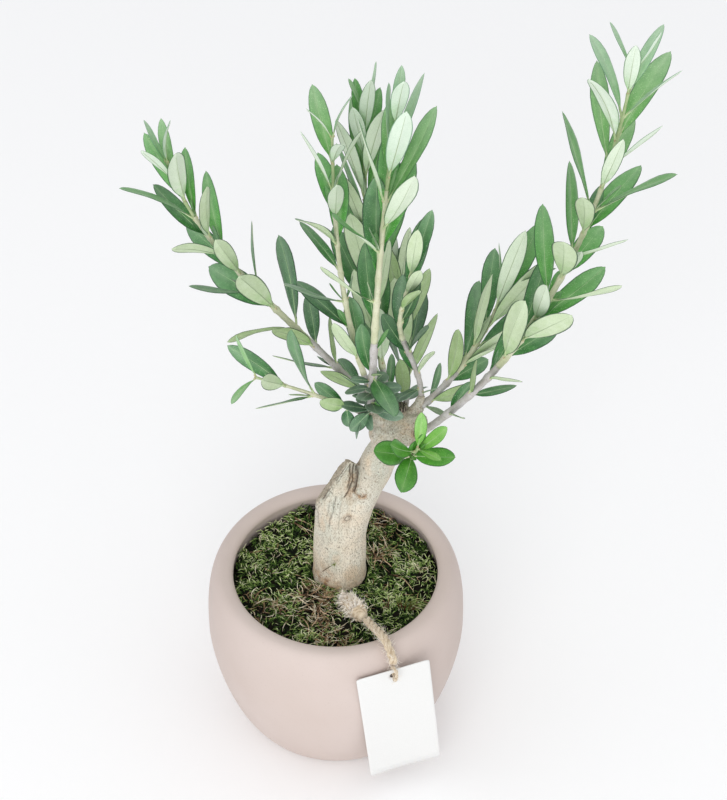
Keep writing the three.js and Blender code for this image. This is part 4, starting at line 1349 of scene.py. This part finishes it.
def fitting_leaves(shoot, own, others, rng):
    """Each leaf of a shoot that fits, with its tone, how far it opens, and the waves of its margin."""
    ages = (5, 6) if shoot["name"] == "sprout" else (0, 4)
    for leaf in [*leaves_of(shoot), *basal_leaves(shoot, rng)]:
        closing = next((c for c in CLOSINGS if fits(leaf, c, own, others)), None)
        waves = rng.uniform(0, 6.3), rng.uniform(0.0, MARGIN_WAVE)
        tone = from_to(shoot["tone"], leaf["t"] ** TONE_POWER) + rng.normal(0, TONE_SPREAD)
        name = "spoon" if leaf.get("basal") else TONES[int(np.clip(round(tone), *ages))]
        if closing is not None:
            yield name, leaf, closing, waves


def nodes_called(kind):
    return sorted(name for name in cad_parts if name.startswith(kind))


def make_shoots():
    rng = np.random.default_rng(12)
    blades = {tone: [] for tone in TONES}
    twigs = {kind: [] for kind in range(3)}
    leaves, buds = [], []

    def add(tone, leaf, closing, waves):
        blades[tone].append(blade_mesh(leaf, closing, waves))
        leaves.append((leaf, closing))
        buds.append(bud(leaf, rng))

    paths = {name: path_of(shoot)[0] for name, shoot in SHOOTS.items()}
    for name, shoot in SHOOTS.items():
        others = np.concatenate([path for other, path in paths.items() if other != name])
        for found in fitting_leaves(shoot, paths[name], others, rng):
            add(*found)
        for kind, shape in twig_parts(shoot, rng.uniform(0, 6.3)):
            twigs[kind].append(shape)
    for tone, leaf in knuckle_leaves():
        add(tone, leaf, 1, (0, 0.04))

    foliage, boughs = nodes_called("foliage_"), nodes_called("bough_")
    for tone, made in blades.items():
        shapes, sides, margin, along = zip(*made)
        looks, sides = leaf_surfaces(tone), np.concatenate(sides)
        values = dict(margin=np.concatenate(margin), along=np.concatenate(along))
        shown("leaves_" + tone, joined(shapes), looks, "leaves", foliage, sides, **values)
    for kind, (name, (look, light, dark, speck)) in enumerate(TWIG_LOOKS.items()):
        layers = [(1, dark, 160, 0.35, 0.7), (0.5, speck, 1300, 0.58, 0.72, 2)]
        surface = painted(look, 0.65, 0.35, light, layers, [(0.12, 1600)])
        slot = "leaves" if kind == 2 else "young_bark"
        shown(name, joined(twigs[kind]), [surface], slot, foliage if kind else boughs)
    make_ribs(leaves)
    shown("buds", joined(buds), [plain("bud")], "leaves")


def make_ribs(leaves):
    """The midribs on both sides of the leaves, and the leaf stalks."""
    long, wide = (np.array([leaf[key] for leaf, _ in leaves])[:, None] for key in ("long", "wide"))
    size, taper = np.sqrt(long / 50), np.linspace(1, 0.25, len(RIB_ROWS))
    stalk = np.clip(wide * 0.07, 0.35, 0.85) * PETIOLE_TAPER
    for name, look, rows, lift, radii, sides in (
        ("ribs_upper", "rib_upper", RIB_ROWS, RIB_PROUD, 0.26 * size * taper, 6),
        ("ribs_lower", "rib_lower", RIB_ROWS, -BLADE_THICK - RIB_PROUD, 0.32 * size * taper, 6),
        ("petioles", "petiole", PETIOLE_ROWS, -PETIOLE_SINK, stalk, 7),
    ):
        lines = []
        for leaf, closing in leaves:
            points, _, upper = blade_of(leaf, closing, rows)
            lines.append(points + upper * lift)
        shown(name, tubes(lines, radii, sides), [plain(look)], "leaves")


# Twine and tag


def twine_line(count):
    heading = math.radians(TWINE_HEADING)
    distance, z = TWINE_TOP
    points = list(TWINE_ROUTE)
    for k in range(TWINE_BENDS + 1):
        a = math.radians(TWINE_DROP * k / TWINE_BENDS)
        points.append((distance + TWINE_BEND * math.sin(a), z - TWINE_BEND * (1 - math.cos(a))))
    points = [(away * math.sin(heading), -away * math.cos(heading), z) for away, z in points]
    return spaced_along(points, count)


def rope(line, radius, pitch, plies=3, yarns=6, phase=0.0):
    """A twisted rope along a line, each ply a bundle of yarns that are twisted the other way."""
    line = np.asarray(line, float)
    _, (normal,), (binormal,) = frames_along(line[None])
    way = way_along(line)
    ply_radius = radius * ROPE_PLY[plies]
    yarn_radius = ply_radius * ROPE_YARN
    lines = []
    for j in range(plies):
        turn = phase + TURN * (way / pitch + j / plies)
        middle = line + round_axis(turn, normal, binormal) * (radius - ply_radius)
        for i in range(yarns):
            inner = -TURN * (way / (ROPE_COUNTER * pitch)) + TURN * i / yarns + turn
            lines.append(middle + round_axis(inner, normal, binormal) * (ply_radius - yarn_radius))
    return tubes(lines, yarn_radius, 6)


def fibres(feet, ways, lengths, thick, curl, rng):
    """Thin curly fibres, as lines and radii."""
    ways = unit(ways)
    line = [feet]
    for _ in FIBRE_TAPER[1:]:
        ways = unit(ways + rng.normal(0, curl, ways.shape))
        line.append(line[-1] + ways * (lengths / (len(FIBRE_TAPER) - 1))[:, None])
    return np.stack(line, 1), thick * FIBRE_TAPER


def hairs(feet, ways, shortest, longest, rng):
    """The loose fibres that stand off the twine."""
    lengths = rng.uniform(shortest, longest, len(feet))
    return tubes(*fibres(feet, ways, lengths, HAIR_THICK, HAIR_CURL, rng), 3)


def make_knot(jute, pale, rng):
    start, axis, length = axis_between(KNOT_FROM, KNOT_TO)
    side = unit(np.cross(axis, UP))
    up = np.cross(side, axis)
    t = np.linspace(0, 1, 14)
    core = start + axis * (t * length)[:, None]
    parts = [tubes(core[None], np.interp(t, *KNOT_CORE)[None], 14)]
    around = np.linspace(0, TURN * 0.97, 40)
    for place, tilt, radius in KNOT_RINGS:
        lean = math.radians(tilt)
        ring = round_axis(around, side, math.cos(lean) * up + math.sin(lean) * axis)
        ring = start + axis * length * place + radius * ring
        parts.append(rope(ring, KNOT_WIRE, KNOT_PITCH, phase=place * 9))
    knot = shown("knot", joined(parts), [jute], "twine", ["twine_knot"])

    frays = []
    for count, long, thick, curl, sides in KNOT_FRAYS:
        place = rng.uniform(0.02, 0.74, count)
        around = rng.uniform(0, TURN, count)
        out = round_axis(around, side, up)
        thickness = np.interp(place, [0, 0.3, 0.6], [1.0, 3.8, 4.8])
        feet = start + axis * (place * length)[:, None] + out * thickness[:, None]
        ways = out * 0.7 - axis * 0.6 + 0.7 * rng.normal(size=(count, 3))
        lines, radii = fibres(feet, ways, rng.uniform(*long, count), thick, curl, rng)
        beyond = np.abs((lines - start) @ axis - length / 2) > length / 2 + 3.5
        keep = ~beyond.any(1) & (lines[..., 2].min(1) > MOSS_Z - 1)
        frays.append(tubes(lines[keep], radii, sides))
    return [knot, shown("knot_fuzz", joined(frays), [pale], "twine")]


def make_twine():
    rng = np.random.default_rng(23)
    layers = [(1, (228, 214, 192), 300, 0.35, 0.7), (0.6, (152, 126, 96), 1600, 0.6, 0.75, 2)]
    jute = painted("jute", 0.85, 0.25, (204, 186, 160), layers, [(0.2, 2200)])
    pale = plain("jute_fibre")
    twine = shown("twine_rope", rope(twine_line(90), TWINE_RADIUS, TWINE_PITCH), [jute], "twine", ["twine"])
    knot = make_knot(jute, pale, rng)

    line = twine_line(34)
    at = rng.integers(0, len(line), TWINE_HAIRS)
    around = rng.normal(size=(TWINE_HAIRS, 3))
    tangent = frames_along(line[None])[0][0][at]
    around = unit(around - (around * tangent).sum(1, keepdims=True) * tangent)
    feet = line[at] + around * (TWINE_RADIUS - 0.4)
    ways = around * 0.8 + tangent * rng.choice([-1, 1], TWINE_HAIRS)[:, None]
    fuzz = shown("twine_fuzz", hairs(feet, ways, 2.5, 6.5, rng), [pale], "twine")
    rest = [fuzz, *make_eye(jute, pale, rng), make_tag()]

    points = [tuple(float(x) * MM for x in p) for p in line]
    real = sum(math.dist(a, b) for a, b in zip(points, points[1:]))
    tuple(points[0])


def turned_by(x, y, degrees):
    cosine, sine = math.cos(math.radians(degrees)), math.sin(math.radians(degrees))
    return x * cosine - y * sine, x * sine + y * cosine


def hanging(points):
    """Points given across, up and forward of the tag's hole, in the tag's upright plane."""
    forward = POT_RADIUS + TAG_GAP + TAG_THICK / 2
    across = forward * math.tan(math.radians(TWINE_HEADING - TAG_HEADING))
    x, y = turned_by(points[:, 0] + across, -(points[:, 2] + forward), TAG_HEADING)
    return np.stack([x, y, points[:, 1] + TAG_HOLE_Z], 1)


def make_eye(jute, pale, rng):
    """The loop through the tag's hole, and its loose fibres."""
    below = math.sqrt(EYE_RADIUS**2 - EYE_FORWARD**2)
    around = np.linspace(0, TURN, 60)
    up, forward = below + EYE_RADIUS * np.sin(around), EYE_FORWARD + EYE_RADIUS * np.cos(around)
    ring = hanging(np.stack([0.5 * np.sin(2 * around), up, forward], 1))
    loop = rope(ring, EYE_WIRE, EYE_PITCH, plies=2, yarns=5)
    eye = shown("twine_loop", loop, [jute], "twine", ["twine_eye"])
    feet = ring[rng.integers(0, len(ring), EYE_HAIRS)]
    ways = rng.normal(size=(EYE_HAIRS, 3)) + (0, -0.5, 0.3)
    return eye, shown("loop_fuzz", hairs(feet, ways, 2, 5.5, rng), [pale], "twine")


def tag_outline(angles, inset):
    """The card's rounded outline round its hole, at the same angles as the hole's own points."""
    low = np.array([-TAG_WIDTH / 2, TAG_HOLE_DROP - TAG_HEIGHT]) + inset
    high = np.array([TAG_WIDTH / 2, TAG_HOLE_DROP]) - inset
    way = circle(angles)[:, :2]
    reach = np.abs(np.where(way > 0, high, low) / np.where(np.abs(way) < 1e-9, 1e-9, way))
    edge = way * reach.min(1, keepdims=True)
    corner = np.where(edge > 0, high - TAG_CORNER, low + TAG_CORNER)
    past = edge - corner
    rounded = (past * np.sign(edge) > 0).all(1)
    pull = TAG_CORNER / np.maximum(np.hypot(*past.T), 1e-9)[:, None]
    return np.where(rounded[:, None], corner + past * pull, edge)


def corner_angles():
    """Directions from the hole: even ones, with more towards the card's corners."""
    angles = [angles_round(96)]
    for x in (-TAG_WIDTH / 2, TAG_WIDTH / 2):
        for y in (TAG_HOLE_DROP, TAG_HOLE_DROP - TAG_HEIGHT):
            spread = 1.5 * TAG_CORNER / math.hypot(x, y)
            angles.append(math.atan2(y, x) % TURN + np.linspace(-spread, spread, 13))
    return np.unique(np.round(np.concatenate(angles) % TURN, 5))


def make_tag():
    """A blank card with a punched hole, a little bowed, with softened edges."""
    angles = corner_angles()
    hole = TAG_HOLE * circle(angles)[:, :2]
    half = TAG_THICK / 2
    front = [from_to((hole, tag_outline(angles, TAG_SOFT)), k / TAG_STEPS) for k in range(TAG_STEPS + 1)]
    outline = tag_outline(angles, 0)
    rings = [(ring, half) for ring in front]
    rings += [(outline, half - TAG_SOFT), (outline, TAG_SOFT - half)]
    rings += [(ring, -half) for ring in front[::-1]]
    points = np.concatenate([np.column_stack([ring, np.full(len(ring), z)]) for ring, z in rings])
    points[:, 2] += TAG_BOW * (points[:, 0] / (TAG_WIDTH / 2)) ** 2 * share(-points[:, 1] / TAG_BOW_REACH)
    points[:, 0], points[:, 1] = turned_by(points[:, 0], points[:, 1], TAG_ASKEW)
    a = np.arange(len(angles))
    b = (a + 1) % len(angles)
    last = (len(rings) - 1) * len(angles)
    inside = [np.stack([b, a, a + last], 1), np.stack([b, a + last, b + last], 1)]
    faces = np.concatenate([grid_faces(len(rings), len(angles)), *inside])
    layers = [(1, (222, 222, 221), 2200, 0.4, 0.7)]
    card = painted("card", 0.7, 0.3, (227, 227, 226), layers, [(0.03, 1800, 4, 0.6)])
    return shown("card_tag", (hanging(points), faces), [card], "card", ["paper_tag"])


make_camera()
make_twine()
make_pot()
make_moss()
make_wood()
make_snag()
make_shoots()
make_stage()
make_light()
bpy.context.scene.view_settings.view_transform = "Standard"
